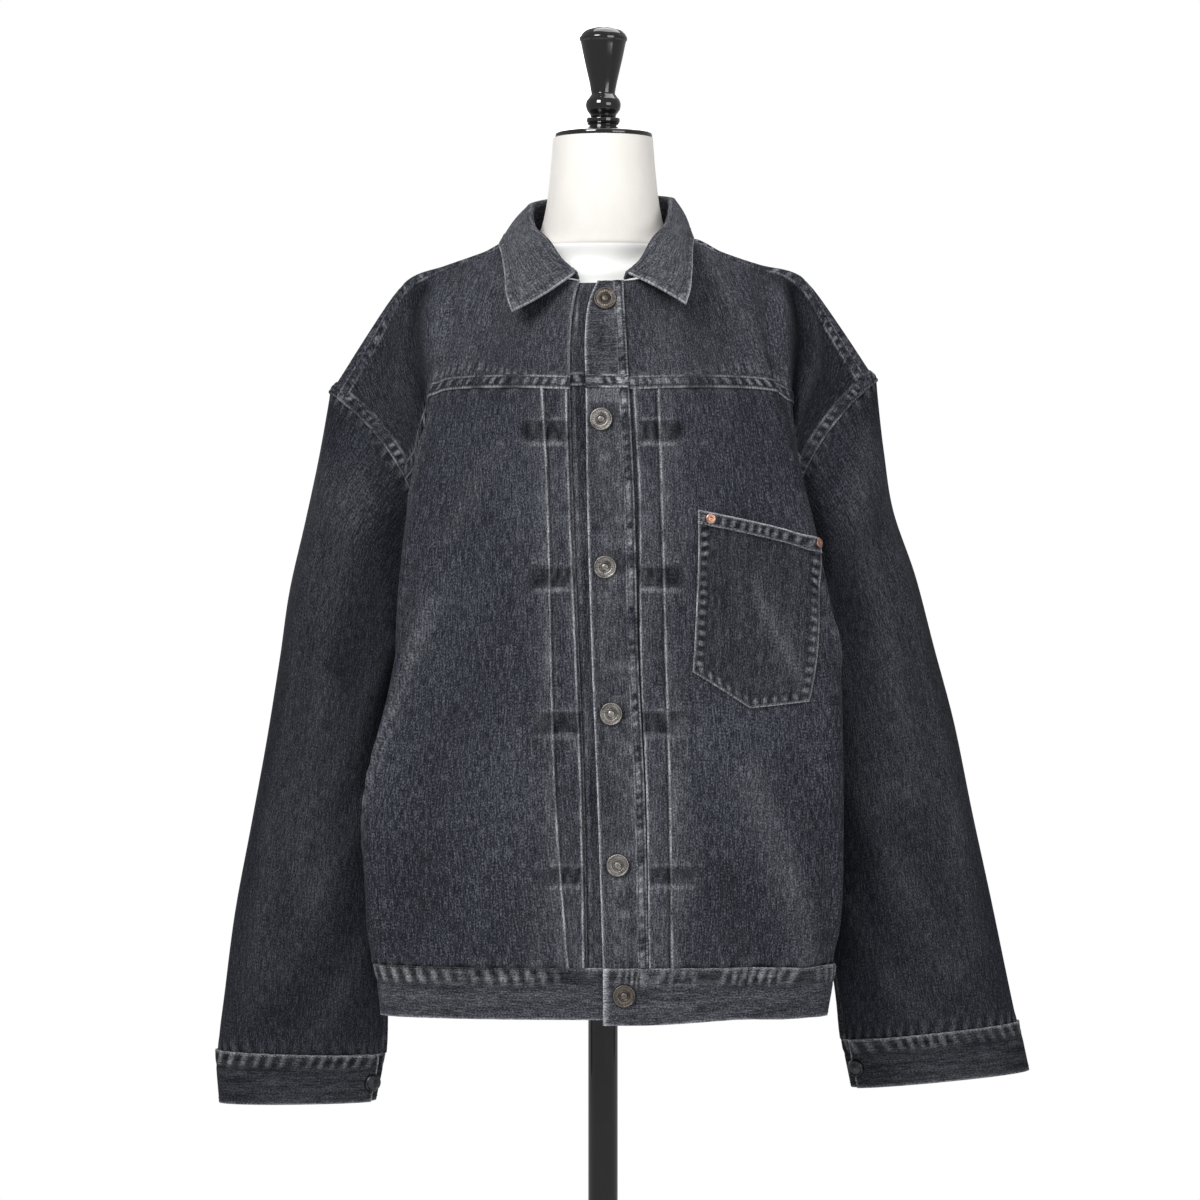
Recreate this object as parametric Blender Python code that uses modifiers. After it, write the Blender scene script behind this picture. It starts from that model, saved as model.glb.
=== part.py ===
"""A buttoned denim jacket worn by a limbless dress form on a pole stand.

Metres, +Z up, the front faces -Y. The origin is the centre of the base's underside.
The cloth is worked out as surfaces: the body from rings and columns, the sleeves from oval rings,
the collar from three lines. Each piece is a wall between such a surface and a copy moved inwards.
"""

import math

import bmesh
import bpy
import numpy as np
from mathutils import Vector

# Cloth
WALL = 0.0016
BAND_WALL = 0.0021
SEAM = 0.0003
PLEAT_STEP = 0.0016

# Heights of the body
HEM_Z = 0.7000
BAND_TOP_Z = 0.7425
UNDERARM_Z = 1.0450
BAND_UP = (BAND_TOP_Z - UNDERARM_Z) / (UNDERARM_Z - HEM_Z)
BAND_TURN = -0.11
BAND_SINK = 0.0008
BAND_LAP = 0.0036
BODY_CENTRE_Y = 0.004
LOWER_ROWS = 11
BODY_SQUARENESS = 2.4
SIDE_TURN = (36.0, 82.0)
CHEST_INSET = {-1: 0.013, 1: 0.009}
SHOULDER_SHARE = 0.35
PULL_SHARE = 0.55
TURN_SHARE = 0.60
PULL_POWER = 1.3
TURN_ROWS = (0.0, 0.22, 0.72, 1.0)
SEAM_FADE = (0.80, 0.97)
CLOTH_COLUMNS = (0.26, 0.35, 0.42, 0.50, 0.58, 0.65, 0.71, 0.77, 0.83, 0.87, 0.91, 0.955, 1.0)

# Body rings: height, half width of the right front, right back, left front and left back,
# depth of the front and of the back. The wearer's left is +X.
BODY_RINGS = (
    (0.7000, 0.1830, 0.1650, 0.1815, 0.1650, 0.1180, 0.1120),
    (0.7425, 0.1870, 0.1660, 0.1885, 0.1665, 0.1180, 0.1140),
    (0.7950, 0.1885, 0.1655, 0.1935, 0.1670, 0.1175, 0.1150),
    (0.8400, 0.1900, 0.1640, 0.1942, 0.1665, 0.1170, 0.1150),
    (0.8800, 0.1855, 0.1610, 0.1942, 0.1650, 0.1170, 0.1150),
    (0.9300, 0.1775, 0.1560, 0.1935, 0.1620, 0.1165, 0.1140),
    (0.9870, 0.1700, 0.1500, 0.1895, 0.1570, 0.1160, 0.1120),
    (1.0450, 0.1655, 0.1440, 0.1805, 0.1500, 0.1155, 0.1100),
    (1.0900, 0.1600, 0.1400, 0.1745, 0.1460, 0.1150, 0.1080),
)

# Upper edge of the front: fraction of the way from the centre to the armhole, place,
# direction in which the cloth runs there, and pull of that direction. X is outwards.
FRONT_TOP = (
    (0.00, 0.0000, -0.0930, 1.3005, 0.00, 0.35, 0.94, 0.16),
    (0.12, 0.0300, -0.0895, 1.3030, 0.00, 0.40, 0.92, 0.16),
    (0.24, 0.0560, -0.0640, 1.3150, 0.00, 0.60, 0.80, 0.16),
    (0.35, 0.0720, -0.0120, 1.3395, 0.00, 0.96, 0.28, 0.17),
    (0.50, 0.1000, -0.0120, 1.3285, 0.00, 0.98, 0.20, 0.18),
    (0.65, 0.1320, -0.0120, 1.3175, 0.00, 0.98, 0.20, 0.17),
    (0.77, 0.1580, -0.0120, 1.3095, 0.10, 0.97, 0.22, 0.14),
    (0.83, 0.1680, -0.0130, 1.3000, 0.30, 0.92, 0.25, 0.12),
    (0.91, 0.1900, -0.0150, 1.2610, 0.42, 0.86, 0.30, 0.10),
    (1.00, 0.2190, -0.0200, 1.2120, 0.45, 0.80, 0.30, 0.09),
)
BACK_NECK = (
    (0.00, 0.0000, 0.0660, 1.3520, 0.00, -0.35, 0.94, 0.12),
    (0.10, 0.0220, 0.0640, 1.3520, 0.00, -0.38, 0.92, 0.12),
    (0.21, 0.0480, 0.0480, 1.3490, 0.00, -0.60, 0.78, 0.12),
    (0.29, 0.0640, 0.0190, 1.3430, 0.00, -0.85, 0.38, 0.14),
)

# Armholes: outer point, depth and inward bow of the front and back halves, seam end angle.
ARMHOLES = {
    -1: dict(top=(-0.2290, 0.0040, 1.2140), front=0.046, back=0.062, front_bow=0.026, back_bow=0.012),
    1: dict(top=(0.2295, 0.0040, 1.2240), front=0.046, back=0.062, front_bow=0.026, back_bow=0.012),
}
SHOULDER_SEAM_ANGLE = math.radians(24.0)
YOKE_SEAM_ANGLE = math.radians(90.0)
ARMHOLE_POINTS = 24
HALVINGS = 17
ARMHOLE_POWER = 0.75

# Sleeve rings: outer edge x and z, inner edge x and z, centre y, half depth. X is outwards.
SLEEVES = {
    -1: (
        (0.2400, 1.1560, 0.1540, 1.0180, 0.016, 0.073),
        (0.2515, 1.1050, 0.1580, 0.9960, 0.022, 0.070),
        (0.2650, 1.0470, 0.1620, 0.9700, 0.025, 0.067),
        (0.2735, 0.9900, 0.1670, 0.9400, 0.027, 0.063),
        (0.2850, 0.9200, 0.1725, 0.8900, 0.029, 0.057),
        (0.2980, 0.8500, 0.1790, 0.8300, 0.030, 0.051),
        (0.3120, 0.7760, 0.1815, 0.7600, 0.031, 0.044),
        (0.3210, 0.7080, 0.1840, 0.7000, 0.031, 0.035),
        (0.3265, 0.6580, 0.1855, 0.6550, 0.030, 0.025),
        (0.3240, 0.6130, 0.1930, 0.6150, 0.030, 0.021),
    ),
    1: (
        (0.2365, 1.1650, 0.1600, 1.0180, 0.016, 0.073),
        (0.2450, 1.1150, 0.1640, 0.9960, 0.022, 0.070),
        (0.2640, 1.0600, 0.1680, 0.9700, 0.025, 0.067),
        (0.2800, 1.0000, 0.1730, 0.9420, 0.027, 0.063),
        (0.2975, 0.9350, 0.1775, 0.8980, 0.029, 0.057),
        (0.3130, 0.8600, 0.1835, 0.8380, 0.030, 0.050),
        (0.3290, 0.7870, 0.1900, 0.7700, 0.031, 0.042),
        (0.3430, 0.7200, 0.1990, 0.7050, 0.031, 0.033),
        (0.3510, 0.6820, 0.2030, 0.6670, 0.030, 0.025),
        (0.3600, 0.6400, 0.2110, 0.6260, 0.030, 0.021),
    ),
}
SLEEVE_ROWS = (0.012, 0.10, 0.30, 0.7, 1.2, 1.9, 2.7, 3.5, 4.3, 5.1, 5.9, 6.7, 7.5, 8.3)
SLEEVE_SQUARENESS = 2.2
SLEEVE_CLEARANCE = 0.0006
SLEEVE_TOUCH = 0.0014
UNDERARM_BULGE = 0.030
SHOULDER_GAP = 0.0016
SLEEVE_SEAM_ANGLE = math.radians(-60.0)
SLEEVE_SEAM_GAP = SEAM / 2 / 0.035
CUFF_START = math.radians(156.0)
CUFF_LAP = math.radians(28.0)
CUFF_RISE = 0.0028
CUFF_SINK = 0.0004
CUFF_WALL = 0.0018
CUFF_BUTTON_TURN = math.radians(4.0)
CUFF_BUTTON_ROW = 0.42
YOKE_GAP_GROWTH = 3.0

# Folds: side, start and end as fractions across and up, half width, rise above the surface.
FOLDS = (
    (-1, 0.70, 0.52, 0.70, 0.16, 0.032, 0.0030),
    (-1, 0.50, -0.10, 0.62, -0.85, 0.016, 0.0040),
    (1, 0.70, 0.52, 0.70, 0.16, 0.032, 0.0030),
    (1, 0.42, -0.45, 0.36, -0.95, 0.016, 0.004),
)
ACROSS = 0.26
UPWARDS = 0.30
FULLNESS = 0.42

# Yoke seam of the fronts: fraction across, height
YOKE_SEAM = ((0.0, 1.2126), (0.30, 1.2137), (0.50, 1.2120), (0.64, 1.2060), (0.74, 1.1950),
             (0.80, 1.1820), (0.88, 1.1580), (1.0, 1.1400))

# Centre lines: height, edge of the upper placket, its seam, edge of the under placket
PLACKET = (
    (0.7425, 0.0000, 0.0360, -0.0125),
    (0.8850, -0.0048, 0.0330, -0.0150),
    (0.9900, -0.0090, 0.0280, -0.0190),
    (1.1300, -0.0130, 0.0245, -0.0245),
    (1.2120, -0.0140, 0.0205, -0.0265),
    (1.2600, -0.0145, 0.0180, -0.0260),
    (1.2850, -0.0110, 0.0165, -0.0230),
    (1.3010, -0.0040, 0.0160, -0.0190),
)
UNDER_LAP = 0.018
UNDER_TURN = 0.004
UNDER_DEPTH = 0.0005
PLACKET_RISE = 0.0010
PLACKET_TOP_Z = 1.2995
PLACKET_ROWS = 22

# Pleats: height, x of the inner and outer folded edge on the right front and on the left front
PLEATS = (
    (0.7425, 0.0107, 0.0275, 0.0365, 0.0550),
    (0.8850, 0.0160, 0.0380, 0.0345, 0.0530),
    (0.9900, 0.0210, 0.0410, 0.0300, 0.0500),
    (1.1300, 0.0252, 0.0440, 0.0285, 0.0463),
    (1.2130, 0.0285, 0.0480, 0.0240, 0.0433),
)
PLEAT_RUN = 0.0014
PLEAT_GAP = 0.0022

# Pocket on the wearer's left: fractions across of its sides, heights of its corners
POCKET_LEFT = (0.175, 0.138)
POCKET_RIGHT = (0.518, 0.396)
POCKET_TIP = 0.44
POCKET_TOP_Z = (1.1139, 1.0889)
POCKET_FOOT_Z = (0.9824, 0.9530, 0.9580)
POCKET_HEM = 0.0115
POCKET_GAP = 0.0006
HEM_WALL = 1.6 * WALL
RIVET_INSETS = (0.07, 0.94)

# Collar: share of the half from the front end, then the neck seam, the roll and the leaf's edge
COLLAR = {
    -1: (
        (0.00, 0.0195, -0.0925, 1.3020, 0.0215, -0.0960, 1.3075, 0.0740, -0.1120, 1.2745),
        (0.10, 0.0330, -0.0860, 1.3055, 0.0335, -0.0860, 1.3180, 0.0785, -0.1010, 1.2880),
        (0.22, 0.0480, -0.0700, 1.3135, 0.0440, -0.0700, 1.3330, 0.0800, -0.0850, 1.3060),
        (0.36, 0.0610, -0.0420, 1.3250, 0.0555, -0.0440, 1.3455, 0.0830, -0.0560, 1.3240),
        (0.52, 0.0665, -0.0080, 1.3420, 0.0590, -0.0080, 1.3625, 0.0860, -0.0200, 1.3370),
        (0.70, 0.0560, 0.0310, 1.3530, 0.0530, 0.0280, 1.3720, 0.0760, 0.0400, 1.3440),
        (0.86, 0.0300, 0.0560, 1.3560, 0.0300, 0.0520, 1.3780, 0.0420, 0.0740, 1.3440),
        (1.00, 0.0000, 0.0620, 1.3560, 0.0000, 0.0590, 1.3800, 0.0000, 0.0820, 1.3440),
    ),
    1: (
        (0.00, 0.0170, -0.0925, 1.3020, 0.0190, -0.0960, 1.3075, 0.0675, -0.1120, 1.2805),
        (0.10, 0.0300, -0.0870, 1.3050, 0.0300, -0.0870, 1.3170, 0.0710, -0.1010, 1.2930),
        (0.22, 0.0450, -0.0710, 1.3125, 0.0400, -0.0700, 1.3340, 0.0725, -0.0850, 1.3100),
        (0.36, 0.0590, -0.0430, 1.3240, 0.0510, -0.0440, 1.3480, 0.0735, -0.0560, 1.3290),
        (0.52, 0.0650, -0.0080, 1.3420, 0.0560, -0.0080, 1.3680, 0.0750, -0.0200, 1.3420),
        (0.70, 0.0560, 0.0310, 1.3530, 0.0510, 0.0280, 1.3760, 0.0700, 0.0400, 1.3470),
        (0.86, 0.0300, 0.0560, 1.3560, 0.0300, 0.0520, 1.3795, 0.0420, 0.0740, 1.3450),
        (1.00, 0.0000, 0.0620, 1.3560, 0.0000, 0.0590, 1.3800, 0.0000, 0.0820, 1.3440),
    ),
}
COLLAR_SECTIONS = 14
COLLAR_WALL = 0.0018
ROLL_RADIUS = 0.0030

# Buttons and rivets
BUTTON_RADIUS = 0.0096
BUTTON_GAP = 0.0003
BAND_BUTTON_GAP = 0.0007
BUTTON_PLACES = ((0.0016, 1.2850), (-0.0016, 1.1875), (0.0016, 1.0677), (0.0065, 0.9487),
                 (0.0118, 0.8260), (0.0170, 0.7200))
CUFF_BUTTON_RADIUS = 0.0075
RIVET_RADIUS = 0.0045

# Stand: radii and heights
BASE_RADIUS = 0.150
BASE_EDGE = 0.007
BASE_HUB_RADIUS = 0.019
BASE_TOP_Z = 0.034
POLE_RADIUS = 0.0124
FORM_FOOT_Z = 0.7500
NECK_TOP_Z = 1.4267
NECK_TOP_RADIUS = 0.0418
STAND_TOP_Z = 1.5200

# Form rings: height at the front and at the sides, half width, half depth, centre y
FORM_RINGS = (
    (0.7500, 0.7500, 0.1350, 0.0900, 0.004),
    (0.7560, 0.7560, 0.1430, 0.0980, 0.004),
    (0.8000, 0.8000, 0.1440, 0.1000, 0.004),
    (0.8700, 0.8700, 0.1330, 0.0930, 0.004),
    (0.9500, 0.9500, 0.1130, 0.0820, 0.002),
    (1.0400, 1.0400, 0.1150, 0.0840, 0.000),
    (1.1200, 1.1200, 0.1200, 0.0860, -0.002),
    (1.2000, 1.2000, 0.1300, 0.0780, -0.002),
    (1.2600, 1.2600, 0.1500, 0.0560, -0.004),
    (1.2860, 1.2920, 0.1550, 0.0420, -0.008),
    (1.2995, 1.3074, 0.1475, 0.0275, -0.008),
    (1.3065, 1.3173, 0.1275, 0.0195, -0.009),
    (1.3145, 1.3264, 0.1010, 0.0185, -0.009),
    (1.3215, 1.3325, 0.0790, 0.0205, -0.008),
    (1.3340, 1.3380, 0.0620, 0.0390, -0.003),
    (1.3450, 1.3470, 0.0535, 0.0450, 0.000),
    (1.3700, 1.3700, 0.0475, 0.0460, 0.001),
    (1.4000, 1.4000, 0.0440, 0.0440, 0.001),
    (1.4267, 1.4267, 0.0418, 0.0418, 0.000),
)
FORM_SQUARENESS = 2.15

# Fullness of the form's front below the neck: how far forward, its height, half height and half width
FORM_FRONT = (0.0205, 1.309, 0.018, 0.055)


def cubic(rows, at):
    """Reads every column of a table at the places given, on a smooth curve through its rows."""
    table = np.array(rows, float)
    knots = table[:, 0]
    values = table[:, 1:]
    steps = np.diff(knots)
    slopes = np.diff(values, axis=0) / steps[:, None]
    ends = np.vstack([slopes[:1], (slopes[:-1] + slopes[1:]) / 2, slopes[-1:]])
    at = np.clip(np.asarray(at, float), knots[0], knots[-1])
    cell = np.clip(np.searchsorted(knots, at, side="right") - 1, 0, len(steps) - 1)
    width = steps[cell]
    t = ((at - knots[cell]) / width)[..., None]
    width = width[..., None]
    return (
        (2 * t**3 - 3 * t**2 + 1) * values[cell]
        + (t**3 - 2 * t**2 + t) * width * ends[cell]
        + (3 * t**2 - 2 * t**3) * values[cell + 1]
        + (t**3 - t**2) * width * ends[cell + 1]
    )


def ease(value, low, high):
    """0 below low, 1 above high, smooth between."""
    t = np.clip((np.asarray(value, float) - low) / (high - low), 0.0, 1.0)
    return t * t * (3 - 2 * t)


def unit(vectors):
    """Vectors of length one."""
    return vectors / np.maximum(np.linalg.norm(vectors, axis=-1, keepdims=True), 1e-12)


def body_ring(side, across, z):
    """Point of the body's ring: across runs 0 at the centre front, 1 at the side, 2 at the back."""
    row = cubic(BODY_RINGS, z)
    front_width = row[..., 0 if side < 0 else 2]
    back_width = row[..., 1 if side < 0 else 3]
    angle = np.asarray(across, float) * 90.0
    turn = np.radians(angle)
    power = 2.0 / BODY_SQUARENESS
    sine = np.abs(np.sin(turn)) ** power
    reach = []
    for sample in range(36, 80, 2):
        narrowed = ease(sample, *SIDE_TURN)
        spread = np.sin(np.radians(sample)) ** power
        reach.append((front_width / spread - back_width * narrowed) / (1 - narrowed))
    front_width = np.min(reach, axis=0)
    width = front_width + (back_width - front_width) * ease(angle, *SIDE_TURN)
    cosine = np.abs(np.cos(turn)) ** power
    y = np.where(angle <= 90.0, -row[..., 4] * cosine, row[..., 5] * cosine)
    return np.stack([side * width * sine, BODY_CENTRE_Y + y, z + 0 * width], axis=-1)


def armhole(side, angle):
    """Point of the armhole's seam: 0 at the top, half a turn under the arm, the front positive."""
    hole = ARMHOLES[side]
    top = np.array(hole["top"])
    under = body_ring(side, np.array(1.0), np.array(UNDERARM_Z))
    centre = (top + under) / 2
    reach = (top - under) / 2
    inwards = np.array([-side * reach[2], 0.0, side * reach[0]]) / np.linalg.norm(reach)
    sine = np.sin(angle)
    front = sine > 0
    depth = np.where(front, hole["front"], hole["back"])
    bow = np.where(front, hole["front_bow"], hole["back_bow"])
    return (
        centre
        + np.cos(angle)[..., None] * reach
        + (depth * sine)[..., None] * np.array([0.0, -1.0, 0.0])
        + (bow * sine**2)[..., None] * inwards
    )


def column(side, across, up):
    """Upper body from the underarm ring to the neck and shoulder, as one curve for each column."""
    back = across > 1
    share = np.where(back, 2 - across, across)
    lower = body_ring(side, across, np.full_like(across, UNDERARM_Z))
    step = 0.002
    rise = (lower - body_ring(side, across, np.full_like(across, UNDERARM_Z - step))) / step
    front_top = cubic(FRONT_TOP, share)
    turned = np.array([1.0, 1.0, 1.0, -1.0, -1.0, -1.0, 1.0])
    neck_end = [row for row in FRONT_TOP if row[0] == SHOULDER_SHARE][0]
    neck_end = (SHOULDER_SHARE, *(np.array(neck_end[1:]) * turned))
    neck = cubic(list(BACK_NECK) + [neck_end], share)
    back_top = np.where((share < SHOULDER_SHARE)[..., None], neck, front_top * turned)
    top = np.where(back[..., None], back_top, front_top)
    end = top[..., :3] * np.array([side, 1.0, 1.0])
    run = unit(top[..., 3:6]) * top[..., 6:7] * np.array([side, 1.0, 1.0])
    t = up[..., None]
    inset = CHEST_INSET[side] * ease(share, 0.3, 0.8) * np.sin(math.pi * np.minimum(up * 1.25, 1)) ** 2
    plain = (
        (2 * t**3 - 3 * t**2 + 1) * lower
        + (t**3 - 2 * t**2 + t) * rise * FULLNESS
        + (3 * t**2 - 2 * t**3) * end
        + (t**3 - t**2) * run
    )
    return plain - np.array([side, 0.0, 0.0]) * inset[..., None]


def armhole_angle(back, up):
    """Angle round the armhole of a row of the upper body."""
    turned = up ** ARMHOLE_POWER
    front_angle = math.pi - turned * (math.pi - SHOULDER_SEAM_ANGLE)
    back_angle = -math.pi + turned * (math.pi + SHOULDER_SEAM_ANGLE)
    return np.where(back, back_angle, front_angle)


def armhole_up(back, angle):
    """Height fraction of the row that meets the armhole at an angle."""
    front_share = (math.pi - angle) / (math.pi - SHOULDER_SEAM_ANGLE)
    back_share = (angle + math.pi) / (math.pi + SHOULDER_SEAM_ANGLE)
    share = np.clip(np.where(back, back_share, front_share), 0.0, 1.0)
    return share ** (1 / ARMHOLE_POWER)


def fold_height(side, across, up):
    """Rise of the soft folds above the plain surface."""
    total = np.zeros(np.broadcast(across, up).shape)
    for fold_side, a0, u0, a1, u1, half, rise in FOLDS:
        if fold_side != side:
            continue
        run = np.array([(a1 - a0) * ACROSS, (u1 - u0) * UPWARDS])
        dx = (across - a0) * ACROSS
        dz = (up - u0) * UPWARDS
        along = np.clip((dx * run[0] + dz * run[1]) / (run @ run), 0, 1)
        away = np.hypot(dx - along * run[0], dz - along * run[1])
        total = total + rise * np.exp(-((away / half) ** 2))
    return total


def plain_body(side, across, up):
    """The body without folds: up is -1 at the hem, 0 under the arm, 1 at the neck and shoulder."""
    across, up = np.broadcast_arrays(np.asarray(across, float), np.asarray(up, float))
    low = body_ring(side, across, UNDERARM_Z + np.minimum(up, 0) * (UNDERARM_Z - HEM_Z))
    if np.all(up <= 0):
        return low
    rise = np.clip(up, 0, 1)
    share = np.where(across > 1, 2 - across, across)
    if np.all(share <= PULL_SHARE):
        high = column(side, across, rise)
    else:
        high = drawn_to_armhole(side, share, across > 1, rise)
    return np.where(up[..., None] < 0, low, high)


def drawn_to_armhole(side, share, back, rise):
    """The upper body with its outer columns turned back to meet the armhole's seam."""
    seam = armhole(side, armhole_angle(back, rise))
    moved = seam - column(side, np.where(back, 1 + 1e-9, 1 - 1e-9), rise)

    def drawn(place):
        pull = ease(place, PULL_SHARE, 1.0)[..., None] ** PULL_POWER
        return column(side, np.where(back, 2 - place, place), rise) + moved * pull

    straight = drawn(share)
    step = 0.01
    before = drawn(np.full_like(share, TURN_SHARE - step))
    after = drawn(np.full_like(share, TURN_SHARE + step))
    start = (before + after) / 2
    chord = seam - start
    run = unit(after - before) * np.linalg.norm(chord, axis=-1, keepdims=True)
    t = np.clip((share - TURN_SHARE) / (1 - TURN_SHARE), 0, 1)[..., None]
    turned_back = (
        (2 * t**3 - 3 * t**2 + 1) * start
        + (t**3 - 2 * t**2 + t) * run
        + (3 * t**2 - 2 * t**3) * seam
        + (t**3 - t**2) * chord
    )
    mix = ease(rise, *TURN_ROWS[:2]) * (1 - ease(rise, *TURN_ROWS[2:])) * (share > TURN_SHARE)
    return straight + (turned_back - straight) * mix[..., None]


def slopes(surface, a, b, step=1e-4):
    """Directions in which a surface runs as each of its two numbers grows."""
    along_a = surface(a + step, b) - surface(a - step, b)
    along_b = surface(a, b + step) - surface(a, b - step)
    return along_a, along_b


def body_slopes(surface, across, up, step):
    """The same on the body, whose front and back part at the armhole."""
    front = across <= 1
    open_side = up > 0
    low = np.where(open_side & ~front, 1 + 1e-7, 0.0)
    high = np.where(open_side & front, 1 - 1e-7, 2.0)
    ahead = np.minimum(across + step, high)
    behind = np.maximum(across - step, low)
    along_a = surface(ahead, up) - surface(behind, up)
    inside = np.clip(across, low, high)
    along_b = surface(inside, np.minimum(up + step, 1.0)) - surface(inside, up - step)
    return along_a, along_b


def body(side, across, up, out=0.0):
    """Point of the body's cloth, with its folds, moved outwards by out."""
    across, up = np.broadcast_arrays(np.asarray(across, float), np.asarray(up, float))
    along_a, along_b = body_slopes(lambda a, b: plain_body(side, a, b), across, up, 2e-4)
    outwards = unit(np.cross(along_a, along_b)) * side
    fade = 1 - ease(np.where(across > 1, 2 - across, across), 0.93, 1.0) * ease(up, -0.05, 0.0)
    fade = fade * (1 - ease(up, 0.90, 1.0))
    height = fold_height(side, across, up) * fade
    return plain_body(side, across, up) + outwards * (height + out)[..., None]


def body_out(side, across, up):
    """Outward direction of the body's cloth."""
    across, up = np.broadcast_arrays(np.asarray(across, float), np.asarray(up, float))
    along_a, along_b = body_slopes(lambda a, b: body(side, a, b), across, up, 2e-3)
    return unit(np.cross(along_a, along_b)) * side


def up_at(side, across, z):
    """Height fraction at which the body reaches a height, for each place across."""
    across, z = np.broadcast_arrays(np.asarray(across, float), np.asarray(z, float))
    low = np.full(across.shape, -1.0)
    high = np.ones(across.shape)
    for _ in range(HALVINGS):
        middle = (low + high) / 2
        above = plain_body(side, across, middle)[..., 2] > z
        high = np.where(above, middle, high)
        low = np.where(above, low, middle)
    return (low + high) / 2


def across_at(side, x, up):
    """Place across at which the front reaches a distance from the centre line."""
    x, up = np.broadcast_arrays(np.asarray(x, float), np.asarray(up, float))
    low = np.zeros(x.shape)
    high = np.full(x.shape, 0.75)
    for _ in range(HALVINGS):
        middle = (low + high) / 2
        past = np.abs(plain_body(side, middle, up)[..., 0]) > np.abs(x)
        high = np.where(past, middle, high)
        low = np.where(past, low, middle)
    return (low + high) / 2


def front_point(x, z, out):
    """Point of the front, on either side of the centre line, at a place and height."""
    x, z, out = np.broadcast_arrays(np.asarray(x, float), np.asarray(z, float), out)
    found = np.zeros(x.shape + (3,))
    for side in (-1, 1):
        up = up_at(side, 0.05, z)
        for _ in range(2):
            across = across_at(side, x, up)
            up = up_at(side, across, z)
        here = body(side, across, up, out)
        found = np.where(((x < 0) == (side < 0))[..., None], here, found)
    return found


def sleeve(side, angle, along):
    """Point of a sleeve: along is 0 at the armhole and grows by one for each ring."""
    angle, along = np.broadcast_arrays(np.asarray(angle, float), np.asarray(along, float))
    power = 2.0 / SLEEVE_SQUARENESS
    cosine = np.sign(np.cos(angle)) * np.abs(np.cos(angle)) ** power
    sine = np.sign(np.sin(angle)) * np.abs(np.sin(angle)) ** power
    clear = (1 - np.cos(angle))[..., None] * np.array([side * SLEEVE_CLEARANCE, 0.0, 0.0])
    rings = [armhole(side, angle) + clear]
    for outer_x, outer_z, inner_x, inner_z, centre_y, depth in SLEEVES[side]:
        outer = np.array([side * outer_x, centre_y, outer_z])
        inner = np.array([side * inner_x, centre_y, inner_z])
        ring = (outer + inner) / 2 + cosine[..., None] * (outer - inner) / 2
        rings.append(ring + sine[..., None] * np.array([0.0, -depth, 0.0]))
    rings = np.stack(rings)
    slopes_at = np.gradient(rings, axis=0)
    low_down = ease(-np.cos(angle), 0.0, 0.9)[..., None]
    slopes_at[0] = slopes_at[0] + low_down * np.array([side * UNDERARM_BULGE, 0.0, 0.0])
    cell = np.clip(np.floor(along).astype(int), 0, len(rings) - 2)
    t = (along - cell)[..., None]

    def pick(stack, index):
        return np.take_along_axis(stack, index[None, ..., None], axis=0)[0]

    place = (
        (2 * t**3 - 3 * t**2 + 1) * pick(rings, cell)
        + (t**3 - 2 * t**2 + t) * pick(slopes_at, cell)
        + (3 * t**2 - 2 * t**3) * pick(rings, cell + 1)
        + (t**3 - t**2) * pick(slopes_at, cell + 1)
    )
    inside = side_width(side, place) - place[..., 0] * side
    push = SLEEVE_TOUCH * np.logaddexp(0.0, inside / SLEEVE_TOUCH + 1.0)
    push = push * ease(place[..., 2], UNDERARM_Z + 0.02, UNDERARM_Z - 0.004) * ease(along, 0.0, 0.12)
    return place + push[..., None] * np.array([side, 0.0, 0.0])


def side_width(side, place):
    """How far the body reaches sideways at the height and depth of a place beside it."""
    z = np.clip(place[..., 2], HEM_Z, UNDERARM_Z)
    low = np.full(z.shape, 0.4)
    high = np.full(z.shape, 1.7)
    for _ in range(HALVINGS):
        middle = (low + high) / 2
        behind = body_ring(side, middle, z)[..., 1] > place[..., 1]
        high = np.where(behind, middle, high)
        low = np.where(behind, low, middle)
    return np.abs(body_ring(side, low, z)[..., 0])


def sleeve_out(side, angle, along):
    """Outward direction of a sleeve."""
    along = np.clip(along, 1e-3, len(SLEEVES[side]) - 1e-3)
    along_a, along_b = slopes(lambda a, b: sleeve(side, a, b), angle, along, 5e-4)
    return unit(np.cross(along_a, along_b)) * side


def shared_edge(side, angle, own, of_sleeve):
    """Outward direction at the armhole's seam, shared by both pieces over the shoulder."""
    if of_sleeve:
        back = angle < SHOULDER_SEAM_ANGLE
        up = np.minimum(armhole_up(back, angle), 0.999)
        other = body_out(side, np.where(back, 1.004, 0.996), up)
    else:
        other = sleeve_out(side, angle, np.full_like(angle, 0.01))
    share = ease((own * other).sum(-1), 0.0, 0.5) * ease(np.cos(angle), 0.0, 0.4)
    return unit(own + share[..., None] * other)


def material(name, colour, roughness, metallic=0.0):
    """A plain Principled material."""
    made = bpy.data.materials.new(name)
    made.use_nodes = True
    shader = made.node_tree.nodes["Principled BSDF"]
    shader.inputs["Base Color"].default_value = (*colour, 1.0)
    shader.inputs["Roughness"].default_value = roughness
    shader.inputs["Metallic"].default_value = metallic
    return made


def add_mesh(name, points, faces, surface, smooth=True):
    """Adds a closed mesh with its faces pointing out."""
    mesh = bpy.data.meshes.new(name)
    mesh.from_pydata([tuple(point) for point in points], [], faces)
    work = bmesh.new()
    work.from_mesh(mesh)
    if work.calc_volume(signed=True) < 0:
        bmesh.ops.reverse_faces(work, faces=work.faces)
    work.to_mesh(mesh)
    work.free()
    if smooth:
        mesh.shade_smooth()
        mesh.set_sharp_from_angle(angle=math.radians(40))
    mesh.materials.append(surface)
    made = bpy.data.objects.new(name, mesh)
    COLLECTION.objects.link(made)
    return made


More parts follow.
